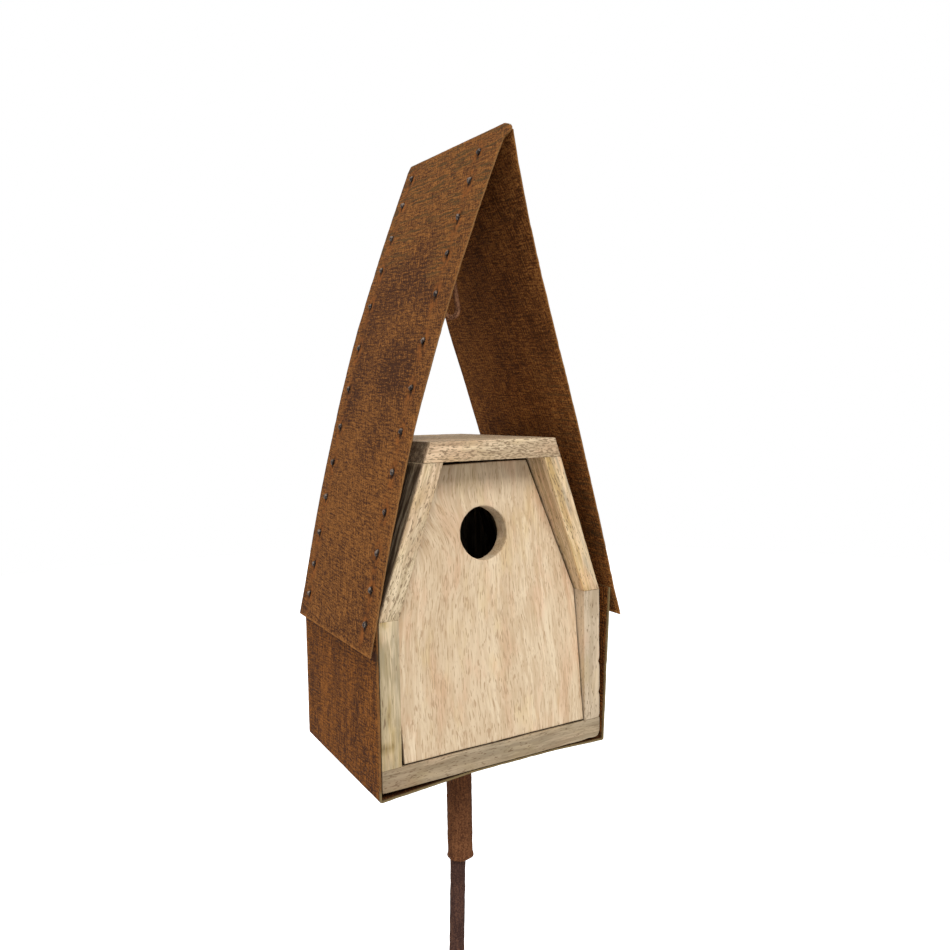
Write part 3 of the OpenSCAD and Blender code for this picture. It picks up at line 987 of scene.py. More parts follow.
@dataclass
class WoodenBox:
    """Six boards round an opening, a leaning front panel with the entrance, and a back panel."""

    place: Place
    half_w: float = 75.0
    shoulder_h: float = 95.0
    half_top: float = 42.0
    box_h: float = 191.0
    depth: float = 115.0
    side_t: float = 12.0
    floor_t: float = 12.5
    top_t: float = 11.5
    panel_t: float = 12.0
    panel_lean: float = math.radians(6.4)
    panel_in: float = 0.5
    panel_gap: float = 0.7
    panel_foot_gap: float = 0.7
    panel_top_gap: float = 2.3
    hole_r: float = 16.0
    hole_down: float = 44.0
    knot_x: float = -46.0
    knot_z: float = 150.0
    knot_r: float = 34.0

    @property
    def joint_h(self) -> float:
        """Height of the top board's underside."""
        return self.box_h - self.top_t

    def half(self, z: float) -> float:
        """Gives half the outer width at a height: straight sides, then straight slopes.

        Args:
            z: The height.

        Returns:
            The distance from the middle, in millimetres.
        """
        if z <= self.shoulder_h:
            return self.half_w
        share = (z - self.shoulder_h) / (self.box_h - self.shoulder_h)
        return self.half_w + (self.half_top - self.half_w) * share

    def boards(self) -> list[Board]:
        """Lists the six boards with their outlines, corner by corner along the fibres first.

        Returns:
            The boards, each with its own seed and its chips.
        """
        w, t, d = self.half_w, self.side_t, self.depth
        low, mid, top = self.floor_t, self.shoulder_h, self.joint_h
        slope = self.half(top)
        floor = ((-w, 0), (w, 0), (w, low), (-w, low))
        left = ((-w, low), (-w, mid), (-w + t, mid), (-w + t, low))
        right = ((w, low), (w, mid), (w - t, mid), (w - t, low))
        left_slope = ((-w, mid), (-slope, top), (-slope + t, top), (-w + t, mid))
        right_slope = ((w, mid), (slope, top), (slope - t, top), (w - t, mid))
        lid = ((-slope, top), (slope, top), (self.half_top, self.box_h), (-self.half_top, self.box_h))
        floor_chips = (
            Chip((w, 0, 0), 2.2, (-1.0, 0.4, 0.6)),
            Chip((w - 9, 0, 0), 2.5, (0, 0.2, 0.4)),
        )
        right_chips = (
            Chip((w, 0, 49), 1.6, (-0.7, 0.3, 0)),
            Chip((w, 0, 29), 1.5, (-0.5, 0.3, 0)),
            Chip((w, 0, low), 1.4, (-0.4, 0.2, 0)),
        )
        return [
            Board("bottom_board", floor, d, 11, floor_chips),
            Board("left_side_board", left, d, 12),
            Board("right_side_board", right, d, 13, right_chips),
            Board("left_slope_board", left_slope, d, 14),
            Board("right_slope_board", right_slope, d, 15),
            Board("top_board", lid, d, 16),
        ]

    def outline(self, gap: float, foot: float, top: float, step: float) -> np.ndarray:
        """Walks round the opening's six-cornered outline, less a gap at its sides, foot and top.

        Args:
            gap: The gap at the sides, in millimetres.
            foot: The gap at the foot.
            top: The gap at the top.
            step: Distance between points, in millimetres.

        Returns:
            Points as x and z, counter-clockwise, with every corner among them.
        """
        inner = [self.half(z) - self.side_t - gap for z in (self.floor_t, self.shoulder_h, self.joint_h)]
        heights = [self.floor_t + foot, self.shoulder_h, self.joint_h - top]
        right = list(zip(inner, heights))
        corners = np.array(right + [(-x, z) for x, z in right[::-1]])
        runs = []
        for here, there in zip(corners, np.roll(corners, -1, axis=0)):
            count = max(2, round(float(np.linalg.norm(there - here)) / step))
            runs.append(here + (there - here) * (np.arange(count) / count)[:, None])
        return np.concatenate(runs)

    def on_panel(self, flat: np.ndarray, back: float) -> np.ndarray:
        """Puts x-z points on the leaning panel's front or back face.

        Args:
            flat: Points as x and z.
            back: 0 for the front face, 1 for the back face, or a share between.

        Returns:
            The points, with y = foot + rise times the lean's tangent + the share of the thickness.
        """
        rise = (flat[..., 1] - self.floor_t - self.panel_foot_gap) * math.tan(self.panel_lean)
        y = self.panel_in + rise + back * self.panel_t / math.cos(self.panel_lean)
        return np.stack([flat[..., 0], y, flat[..., 1]], axis=-1)

    def front_panel(self) -> Shell:
        """Makes the leaning panel with its entrance as one closed ring.

        Round the entrance, each ray carries one section: from the hole's rim out over the front face to
        the outline, over the rounded arris, back along the side, in over the back face to the hole, and
        forward through the hole's wall.

        Returns:
            The shell, with its grain and tint marks.
        """
        outline = self.outline(self.panel_gap, self.panel_foot_gap, self.panel_top_gap, 1.6)
        low_left = smooth(-outline[:, 1], -56.0, -self.floor_t) * (outline[:, 0] < -40)
        outline[:, 0] += 1.1 * low_left
        outline[:, 1] -= 0.7 * (outline[:, 1] > 170) * smooth(-outline[:, 0], -10.0, 30.0)
        hole_h = self.joint_h - self.hole_down
        lean = self.panel_lean
        centre = self.on_panel(np.array([0.0, hole_h]), 0.0)
        angle = np.arctan2((outline[:, 1] - hole_h) / math.cos(lean), outline[:, 0])
        up = np.array([0.0, math.sin(lean), math.cos(lean)])
        inward = np.array([0.0, math.cos(lean), -math.sin(lean)])
        ragged = 1 + 0.004 * np.cos(angle * 9 + 1) + 0.003 * np.cos(angle * 23)
        circle = np.cos(angle)[:, None] * np.array([1.0, 0, 0]) + np.sin(angle)[:, None] * up
        radius = (self.hole_r * np.minimum(ragged, 1.004))[:, None]
        foot = self.floor_t + self.panel_foot_gap
        low_edge = smooth(-outline[:, 1], -foot - 1.0, -foot)
        arris = (0.4 + 0.6 * low_edge)[:, None]

        def rim(extra: float, deep: float) -> np.ndarray:
            """Gives the hole's ring, widened and set back by the given millimetres."""
            return centre + circle * (radius + extra) + inward * deep

        front_out, back_out = self.on_panel(outline, 0.0), self.on_panel(outline, 1.0)
        front_in, back_in = rim(0.8, 0.0), rim(0.4, self.panel_t)
        ray = (front_out - front_in) / np.linalg.norm(front_out - front_in, axis=1, keepdims=True)
        back = np.array([0.0, 1.0, 0.0])
        # The hole's front rim, and the front face out to the outline.
        rows = [rim(0.3, 0.25), front_in, rim(1.2, 0.0)]
        near, far = rows[-1], front_out - ray * 1.8 * arris
        rows += [near + (far - near) * t for t in np.linspace(0, 1, 34)[1:]]
        # The rounded arris and the side.
        rows += [front_out - ray * arris, front_out - ray * 0.293 * arris + back * 0.293 * arris]
        rows += [front_out + back * arris]
        side = back_out - front_out - back * (arris + 0.4)
        rows += [front_out + back * arris + side * t for t in np.linspace(0, 1, 6)[1:]]
        # The back face, in to the hole, and the hole's wall.
        rows += [back_out - ray * 0.12 - back * 0.12, back_out - ray * 0.4]
        near, far = back_out - ray * 0.8, rim(0.9, self.panel_t)
        rows += [near + (far - near) * t for t in np.linspace(0, 1, 22)]
        rows += [back_in, rim(0.1, self.panel_t - 0.15)]
        rows += [rim(0.0, self.panel_t - 0.5 - (self.panel_t - 1.0) * t) for t in np.linspace(0, 1, 9)]
        shell = ring_shell(np.stack(rows), ring_rows=True)
        p = shell.points
        shell.marks["grain"] = self.panel_grain(p)
        # Painted shade: a little at the top, under the top board, and heavy on the panel's edges and back
        # face, which lie behind its front face in the gaps and inside the box; the darker patch by the knot
        # at the upper left is the wood's own.
        top = smooth(p[:, 2], self.joint_h - 40, self.joint_h)
        left_top = np.exp(-((p[:, 0] + 34) ** 2 + (p[:, 2] - 160) ** 2) / 22**2)
        deep = (p[:, 1] - self.panel_in) / math.tan(self.panel_lean) - (p[:, 2] - foot)
        behind = smooth(deep * math.sin(self.panel_lean), 0.5, 1.6)
        reach = p - centre
        wall = np.linalg.norm(reach - (reach @ inward)[:, None] * inward, axis=1) < self.hole_r + 0.7
        dirt_and_shade = np.maximum(0.02 * top + 0.05 * left_top, np.where(wall, 0.05 * behind, 0.95 * behind))
        shell.marks["tint"] = columns(0.0, 0.08 * left_top, dirt_and_shade)
        return shell.roughened(relief(p, (31, 26, 0.05), (32, 6, 0.02)) - 0.05)

    def panel_grain(self, p: np.ndarray) -> np.ndarray:
        """Bends the front panel's upright fibres round an old knot by its upper left corner.

        The fibres' sideways coordinate is drawn towards the knot by a bell curve of the distance.

        Args:
            p: Points of the panel.

        Returns:
            The grain in metres, with x up the panel.
        """
        dx, dz = p[:, 0] - self.knot_x, p[:, 2] - self.knot_z
        bell = np.exp(-(dx**2 + dz**2) / self.knot_r**2)
        side = p[:, 0] + 15 * bell * np.sin((dz + 14) / 24) + 1.6 * Waves(35, 110, 10).at(p)
        return columns(p[:, 2], side, p[:, 1] * 0.6) * MM

    def back_panel(self) -> Shell:
        """Makes the flat back panel.

        Each ring of the outline is carried from near the middle of the inner face out to its edge, back
        along the side and in again over the outer face, and the two small middles are capped.

        Returns:
            The shell, with its grain and tint marks.
        """
        outline = self.outline(self.panel_gap / 2, 0.0, self.panel_gap / 2, 3.0)
        middle = outline.mean(axis=0)
        shares = np.concatenate([[0.02], np.linspace(0.1, 0.985, 14), [0.992, 0.998, 1.0]])
        back, front = self.depth, self.depth - self.panel_t
        drop = [0.0] * 15 + [0.03, 0.15, 0.45]
        rows = []
        for face, turn in ((front, 1.0), (back, -1.0)):
            ring = [
                np.insert(middle + (outline - middle) * share, 1, face + turn * deep, axis=1)
                for share, deep in zip(shares, drop)
            ]
            rows += ring if turn > 0 else ring[::-1]
        shell = ring_shell(np.stack(rows))
        p = shell.points
        shell.marks["grain"] = columns(p[:, 2], p[:, 0] + 700, p[:, 1]) * MM
        slow = Waves(37, 90, 12).at(p)
        # Painted shade on the inner face, which looks into the closed box.
        inside = 0.8 * smooth(-p[:, 1], -self.depth + 2.0, -self.depth + 6.0)
        shell.marks["tint"] = columns(0.2 * smooth(slow, 0, 2), 0.35 * smooth(-slow, -1, 2), inside)
        return shell.roughened(np.minimum(relief(p, (36, 30, 0.05)) - 0.08, 0))

    def build(self, group: bpy.types.NodeTree) -> None:
        """Makes and dresses the boards and panels.

        Args:
            group: The wood's node group.
        """
        pore, dash = (0.20, 0.13, 0.075), (0.25, 0.17, 0.10)
        looks = {
            "bottom_board": (
                wood_finish("board_bottom", (0.53, 0.405, 0.265), (0.27, 0.20, 0.12), pore, 3.0, 0.7, 0.7),
                plain_tint(grey=0.3, dirt_and_shade=0.15),
            ),
            "left_side_board": (
                wood_finish("board_left", (0.85, 0.68, 0.45), (0.34, 0.265, 0.15), pore, 8.0, 0.3, 0.7),
                self.left_tint,
            ),
            "right_side_board": (
                wood_finish("board_right", (0.76, 0.605, 0.43), (0.44, 0.33, 0.21), pore, 4.0, 0.5, 0.5),
                plain_tint(grey=0.15, dirt_and_shade=0.1),
            ),
            "left_slope_board": (
                wood_finish("slope_left", (0.84, 0.675, 0.455), (0.46, 0.34, 0.20), dash, 3.0, 1.0, 0.5),
                plain_tint(grey=0.1, dirt_and_shade=0.15, side=0.82),
            ),
            "right_slope_board": (
                wood_finish("slope_right", (0.86, 0.655, 0.42), (0.50, 0.36, 0.20), pore, 3.6, 0.8, 0.6),
                edge_tint(0.42, 0.62, 0.8),
            ),
            "top_board": (
                wood_finish("board_top", (0.86, 0.675, 0.45), (0.46, 0.33, 0.20), dash, 2.6, 1.2, 0.6),
                plain_tint(grey=0.1, dirt_and_shade=0.1, side=0.6),
            ),
        }
        for board in self.boards():
            finish, tint = looks[board.name]
            wood = finish.material(group)
            shell = board.shell(tint)
            self.darkened(shell)
            add_piece(f"{board.name}_wood", shell, self.place, wood, Slot.BOARD, (board.name,))
        front = wood_finish(
            "panel_front", (0.825, 0.665, 0.462), (0.60, 0.43, 0.265), (0.48, 0.32, 0.19), 6.5, 0.72, 0.5
        )
        rear = wood_finish("panel_back", (0.62, 0.50, 0.35), (0.42, 0.32, 0.21), pore, 3.2, 0.5, 0.8)
        shell = self.front_panel()
        wood = front.material(group)
        add_piece("front_panel_wood", shell, self.place, wood, Slot.PANEL, ("front_panel",))
        shell = self.back_panel()
        wood = rear.material(group)
        add_piece("back_panel_wood", shell, self.place, wood, Slot.BOARD, ("back_panel",))

    def left_tint(self, share: np.ndarray) -> np.ndarray:
        """Tints the left side board: grey-green streaks, a yellow stain low down and a mark at its top.

        Args:
            share: Points as shares of the board's size.

        Returns:
            The yellow, grey and dirt of each point.
        """
        up, across = share[:, 0], share[:, 2]
        streak = smooth(Waves(85, 0.08, 24).at(share * np.array([0.12, 1.0, 1.0])), 0.2, 1.6)
        wander = 0.10 * Waves(86, 0.4, 12).at(share * np.array([1.0, 0.2, 0.2]))
        stain = np.exp(-(((across - 0.55 + wander) / 0.11) ** 2))
        stain = stain * smooth(up, 0.10, 0.20) * smooth(-up, -0.60, -0.28)
        foot = np.exp(-(((up - 0.15) / 0.03) ** 2)) * smooth(-across, -0.7, -0.4)
        corner = np.exp(-(((across - 0.2 - (1 - up) * 4) / 0.2) ** 2)) * smooth(up, 0.93, 1.0)
        low = smooth(-up, -0.55, -0.05)
        dirt_and_shade = 0.26 * stain + 0.45 * foot + 0.28 * corner + 0.07 * low
        yellow = stain + 0.8 * foot + corner + 0.35 * low
        return columns(np.minimum(yellow, 1.0), 0.42 * streak * (1 - stain), dirt_and_shade)

    def darkened(self, shell: Shell) -> None:
        """Paints shade on the faces that look into the closed space behind the front panel.

        Args:
            shell: A board's shell, already tinted.
        """
        x, y, z = shell.points.T
        inner = [self.half(h) - self.side_t for h in (self.floor_t, self.shoulder_h, self.joint_h)]
        wall = np.interp(z, [self.floor_t, self.shoulder_h, self.joint_h], inner)
        inside = (np.abs(x) < wall + 0.3) & (z > self.floor_t - 0.3) & (z < self.joint_h + 0.3)
        front = self.panel_in + (z - self.floor_t) * math.tan(self.panel_lean)
        behind = smooth(y - front, 0.8, 2.4) * inside
        shell.marks["tint"][:, 2] = np.maximum(shell.marks["tint"][:, 2], 0.92 * behind)


# ---- Roof ----

# Reach of the worn edge on the roof's sheets and the tray, in millimetres.
RIM_WEAR = 1.3
# Distance in the rust's pattern between a sheet's two faces, and shifts that give each sheet its own part.
SKIN_THROUGH = 300.0
RIGHT_SKIN = 500.0
TRAY_SKIN = 900.0
SHEET_SEEDS = {Side.LEFT: 41, Side.RIGHT: 51}
NAIL_SEED = 90


@dataclass(frozen=True)
class RoofShape:
    """Sizes of the two roof sheets and their rows of nails."""

    tray_h: float = 95.0
    tray_left: float = -76.6
    tray_right: float = 84.1
    sheet_t: float = 1.0
    roof_gap: float = 0.2
    ridge_h: float = 360.0
    eave_h: float = 77.5
    bow: float = 5.6
    eave_flare: float = 0.25
    ridge_gap: float = 0.3
    rake: tuple[float, float] = (9.8, 15.0)
    rake_curve: tuple[float, float] = (1.4, 3.2)
    front_toe: float = 3.4
    front_middle: float = 0.44
    reach: float = 124.4
    back_rake: float = 3.5
    back_toe: float = 10.9
    back_toe_curve: float = 1.15
    back_middle: float = 0.65
    nail_in_front: float = 13.0
    nail_in_more: float = 12.4
    nail_in_back: float = 12.0
    back_nail_lift: float = 7.5
    nail_run: float = 282.0
    nail_steps: tuple[float, ...] = (4.6, 16.9, 21.3, 20.4, 23, 26.4, 26.2, 24, 22.3, 21.6, 22.1, 19.9, 18.4)
    nose_y: tuple[float, ...] = (-9.1, -9.8, -11.5, -13.6, -15.5, -16.4, -16.3, -15.5, -13.5, -10.7, -5.0)
    nose_z: tuple[float, ...] = (350.0, 354.7, 357.0, 357.3, 357.7, 358.5, 359.4, 360.8, 362.5, 363.9, 366.0)
    top_back: float = 374.1
    top_clip: float = 1.7
    top_clip_h: float = 369.0
    right_short: float = 0.1

    @property
    def across(self) -> float:
        """Thickness of a leaning sheet, measured level."""
        return self.sheet_t * 1.04

    @property
    def ridge_x(self) -> float:
        """Place of the ridge: midway between the tray's top edges."""
        return (self.tray_left + self.tray_right) / 2

    @property
    def half_span(self) -> float:
        """Half the roof's outer width where it rests on the tray."""
        return (self.tray_right - self.tray_left) / 2 + self.roof_gap + self.across

    @property
    def rise(self) -> float:
        """Height from the eaves to the ridge."""
        return self.ridge_h - self.eave_h

    def half(self, z: np.ndarray) -> np.ndarray:
        """Gives the outer face's distance from the ridge's centre line.

        It is a straight line from the tray to the ridge, bowed out by a parabola. Below the tray it flares,
        and above the ridge it runs on straight.

        Args:
            z: Heights.

        Returns:
            The distances.
        """
        ridge_half = self.across + self.ridge_gap / 2
        share = (z - self.tray_h) / (self.ridge_h - self.tray_h)
        bowed = self.half_span + (ridge_half - self.half_span) * share + 4 * self.bow * share * (1 - share)
        step = 17.0
        last = step / (self.ridge_h - self.tray_h)
        slope = ((ridge_half - self.half_span) * last - 4 * self.bow * last * (1 - last)) / step
        above = ridge_half + slope * (z - self.ridge_h)
        below = self.half_span + self.eave_flare * (self.tray_h - z)
        return np.where(z > self.ridge_h, above, np.where(z < self.tray_h, below, bowed))

    def ways(self, z: np.ndarray, middle_share: float) -> tuple[np.ndarray, np.ndarray]:
        """Gives how far heights are on the way from a middle up to the ridge, and down to the eaves.

        Args:
            z: Heights.
            middle_share: Height of the middle, as a share of the rise.

        Returns:
            The two shares, from 0 to 1.
        """
        middle = self.eave_h + self.rise * middle_share
        up = np.clip((z - middle) / (self.ridge_h - middle), 0, 1)
        down = np.clip((middle - z) / (middle - self.eave_h), 0, 1)
        return up, down

    def front_edge(self, side: Side, z: np.ndarray) -> np.ndarray:
        """Gives a front edge's y: it curves forward to the ridge and a little to the eaves.

        Args:
            side: Which sheet.
            z: Heights.

        Returns:
            The y at each height.
        """
        number = 0 if side is Side.LEFT else 1
        up, down = self.ways(z, self.front_middle)
        return -self.rake[number] * up ** self.rake_curve[number] - self.front_toe * down**2

    def back_edge(self, z: np.ndarray) -> np.ndarray:
        """Gives the back edges' y: it runs forward to the ridge and curves forward to the eaves."""
        up, down = self.ways(z, self.back_middle)
        return self.reach - self.back_rake * up - self.back_toe * down**self.back_toe_curve

    def left_front(self, z: np.ndarray) -> np.ndarray:
        """Gives the left sheet's front edge with its nose: a line drawn through the nose's points."""
        nose = np.interp(z, self.nose_z, self.nose_y)
        return np.where(z < self.nose_z[0], self.front_edge(Side.LEFT, z), nose)

    def left_back(self, z: np.ndarray) -> np.ndarray:
        """Gives the left sheet's back edge, clipped at its upper corner."""
        clipped = self.top_clip * smooth(z, self.top_clip_h, self.top_back)
        return self.back_edge(np.minimum(z, self.ridge_h)) - clipped

    def nails(self, side: Side, front: bool) -> np.ndarray:
        """Places one row of nails.

        Args:
            side: The sheet that they are in.
            front: Whether it is the row along the front edge.

        Returns:
            Each nail's y and z.
        """
        z = self.ridge_h - self.rise * np.cumsum(self.nail_steps) / self.nail_run
        up = (z - self.eave_h) / self.rise
        if side is Side.LEFT and not front:
            z = z + self.back_nail_lift * up**2
            up = (z - self.eave_h) / self.rise
        in_front = self.front_edge(side, z) + self.nail_in_front + self.nail_in_more * up**2
        in_back = self.back_edge(np.minimum(z, self.ridge_h)) - self.nail_in_back
        return np.stack([in_front if front else in_back, z], axis=1)


@dataclass
class Roof:
    """Two bowed sheets of rusted steel, with a row of nails along each long edge."""

    place: Place
    shape: RoofShape = field(default_factory=RoofShape)
    cell: float = 1.6
    arris: float = 0.3
    dense_end: float = 16.0
    flat_more: float = 8.0
    nail_r: float = 1.85
    nail_h: float = 1.55
    nail_sink: float = 0.15

    def sheet(self, side: Side) -> Shell:
        """Bends a thin rounded block into one roof sheet.

        A point's share of the length gives its height between the eave and the top edge, and its share of
        the depth gives y between the front and the back edge at that height. The outer face lies at the
        bowed distance from the ridge, and the thickness runs inwards from there.

        Args:
            side: Which sheet.

        Returns:
            The shell, with its skin, wear and zone marks.
        """
        s = self.shape
        size = (s.rise + self.flat_more, s.reach, s.across)
        cells = (self.cell, self.cell, 1.0)
        points, quads = Block(size, self.arris, cells, self.dense_end).surface()
        share = points / np.array(size)
        p, q = share[:, 0], share[:, 1]
        seed = SHEET_SEEDS[side]
        if side is Side.LEFT:
            top = s.nose_z[-1] + (s.top_back - s.nose_z[-1]) * q
            z = s.eave_h + p * (top - s.eave_h)
            front, back = s.left_front(z), s.left_back(z)
        else:
            z = s.eave_h + p * (s.rise - s.right_short)
            front, back = s.front_edge(side, z), s.back_edge(z)
        ragged = relief(columns(z, 0.0, 0.0), (seed, 6, 0.10), (seed + 1, 20, 0.12))
        front = front + np.maximum(ragged, 0.0) * (1 - smooth(q, 0.0, 0.06))
        back = back + (np.minimum(ragged, 0.0) - 0.16) * smooth(q, 0.94, 1.0)
        y = front + q * (back - front)
        x = s.ridge_x + side.value * (s.half(z) - points[:, 2])
        shell = Shell(columns(x, y, z), quads)
        self.mark(shell, share, size, side)
        shell.outward()
        slow = relief(shell.points, (seed + 2, 70, 0.06))
        fine = relief(shell.points, (seed + 3, 9, 0.02), (seed + 4, 4, 0.015))
        dimple = 0.2 * shell.marks["wear"][:, 1] * (1 - share[:, 2])
        height = (slow - 0.11) * (1 - 2 * share[:, 2]) + np.minimum(fine - 0.05, 0.0)
        return shell.roughened(height - dimple)

    def mark(self, shell: Shell, share: np.ndarray, size: Triple, side: Side) -> None:
        """Marks where the sheet is worn, dull and lined.

        Args:
            shell: The sheet's shell.
            share: Its points as shares of the flat block's size.
            size: The flat block's size.
            side: Which sheet.
        """
        s = self.shape
        y, z = shell.points[:, 1], shell.points[:, 2]
        apart = RIGHT_SKIN * (side is Side.RIGHT)
        shell.marks["skin"] = columns(y, z, share[:, 2] * SKIN_THROUGH + apart) * MM
        edge = np.exp(-rim_distance(share, size) / RIM_WEAR)
        edge = edge - 3.0 * smooth(share[:, 1], 1 - 1.2 / s.reach, 1.0)
        edge = edge + 2.4 * smooth(-share[:, 0], -1.6 / size[0], -0.4 / size[0])
        # The nail mark gives each nail a rust halo and a dark foot that is partly painted shadow.
        nails = np.concatenate([s.nails(side, True), s.nails(side, False)])
        aside, below = y[:, None] - nails[:, 0], nails[:, 1] - z[:, None]
        gap = np.sqrt(aside**2 + (below * np.where(below > 0, 0.42, 0.7)) ** 2).min(axis=1)
        outer = 1 - share[:, 2]
        nail = np.exp(-((gap / 3.4) ** 2)) * outer
        cut = smooth(np.minimum(share[:, 2], outer), 0.05, 0.3)
        shell.marks["wear"] = columns(edge, nail, 0.3 * cut)
        wander = Waves(61, 60, 14).at(shell.points)
        up = (z - s.eave_h) / s.rise + 0.035 * wander
        between = (0.4 + 0.6 * smooth(share[:, 1], 0.12, 0.24)) * smooth(-share[:, 1], -0.96, -0.84)
        dull = smooth(up, 0.26, 0.58) * smooth(-up, -0.84, -0.76) * between + 0.8 * smooth(-up, -0.05, -0.01)
        rolled = smooth(up, 0.74, 0.86)
        upright = smooth(-up, -0.22, -0.08)
        if side is Side.RIGHT:
            dull = 0.3 + 0.3 * smooth(wander, -1.0, 1.5)
            low_front = smooth(-share[:, 1], -0.38, -0.05) * smooth(-up, -0.75, -0.45)
            rolled, upright = 0.2 * rolled + 0.7 * low_front, 0.5
        shell.marks["zone"] = columns(dull * (1 + 0.25 * wander), rolled, upright * 0.75)

    def nails(self, side: Side, front: bool) -> Shell:
        """Makes one row of hammered nail heads.

        Each head is a dome of five rings: a skirt sunk in the sheet, then radii falling as the height
        rises. Every head has its own squash, turn, tilt and dents, and stands on the sheet's normal.

        Args:
            side: The sheet that they are in.
            front: Whether it is the row along the front edge.

        Returns:
            One shell of all the heads.
        """
        s = self.shape
        at = s.nails(side, front)
        rng = np.random.default_rng(NAIL_SEED + 2 * (side is Side.LEFT) + front)
        count, around = len(at), 14
        radii = np.array([1.0, 1.0, 0.86, 0.62, 0.30]) * self.nail_r
        lifts = np.array([-0.35, 0.22, 0.60, 0.86, 1.0]) * self.nail_h
        angle = full_turn(around)
        turn = rng.uniform(0, 2 * np.pi, (count, 1, 1))
        facets = 1 + 0.09 * np.cos(angle * 4 + turn) + 0.07 * np.cos(angle * 3 - 2 * turn)
        radius = radii[None, :, None] * facets * rng.uniform(0.9, 1.06, (count, 1, 1))
        u = radius * np.cos(angle) * rng.uniform(0.88, 1.05, (count, 1, 1))
        v = radius * np.sin(angle)
        tilt = rng.uniform(-0.3, 0.3, (2, count, 1, 1))
        w = lifts[None, :, None] * rng.uniform(0.85, 1.1, (count, 1, 1))
        w = w + tilt[0] * u * 0.6 + tilt[1] * v * 0.6
        w = w + np.where(lifts > 0, 1, 0)[None, :, None] * rng.normal(0, 0.06, (count, len(radii), around))
        z = at[:, 1]
        lean = (s.half(z - 1) - s.half(z + 1)) / 2
        long = np.sqrt(1 + lean**2)[:, None]
        normal = columns(side.value, 0.0, lean) / long
        up = columns(-side.value * lean, 0.0, 1.0) / long
        seat = columns(s.ridge_x + side.value * s.half(z), at[:, 0], z)
        ahead = np.array([0.0, 1.0, 0.0])
        grid = (
            seat[:, None, None]
            + u[..., None] * ahead
            + v[..., None] * up[:, None, None]
            + (w - self.nail_sink)[..., None] * normal[:, None, None]
        )
        shell = shell_row(grid, turned=side is Side.RIGHT)
        crown = np.broadcast_to((lifts / self.nail_h)[None, :, None], w.shape).reshape(-1)
        shell.marks["skin"] = shell.points * MM
        # Painted highlight on the upper front side of each crown, and painted shade on the skirt.
        side_lit = ((v - 0.7 * u) / self.nail_r + 0 * w).reshape(-1)
        painted_glint_and_shade = 3.2 * smooth(0.6 * crown + 0.5 * side_lit, 0.62, 0.98) - 2.0 * smooth(-crown, -0.6, 0.1)
        shell.marks["wear"] = columns(painted_glint_and_shade, 0.0, 0.0)
        shell.marks["zone"] = columns(0.6, 0.0, 0 * crown)
        return shell

    def build(self, group: bpy.types.NodeTree) -> None:
        """Makes and dresses the sheets and their nails.

        Args:
            group: The rust's node group.
        """
        left_rust = ((0.060, 0.023, 0.011), (0.215, 0.083, 0.024), (0.40, 0.165, 0.045))
        right_rust = ((0.085, 0.028, 0.008), (0.27, 0.098, 0.026), (0.50, 0.22, 0.06))
        # The nails' bright colour also gives their painted highlight.
        nail_rust = ((0.010, 0.006, 0.005), (0.040, 0.026, 0.021), (0.27, 0.21, 0.165))
        outside = rust_finish("roof_rust", left_rust, 1.0, 0.42).material(group)
        inside = rust_finish("roof_rust_right", right_rust, 0.8, 0.2).material(group)
        head = rust_finish("nail_iron", nail_rust, 0.2, gloss=0.45, specular=0.15).material(group)
        left, right = self.sheet(Side.LEFT), self.sheet(Side.RIGHT)
        add_piece("roof_left_steel", left, self.place, outside, Slot.SHEET, ("roof_left_sheet",))
        add_piece("roof_right_steel", right, self.place, inside, Slot.SHEET, ("roof_right_sheet",))
        for side in Side:
            for front in (True, False):
                row = f"{side.name.lower()}_{'front' if front else 'back'}_nails"
                add_piece(f"{row}_heads", self.nails(side, front), self.place, head, Slot.NAIL, (row,))


# ---- Tray ----


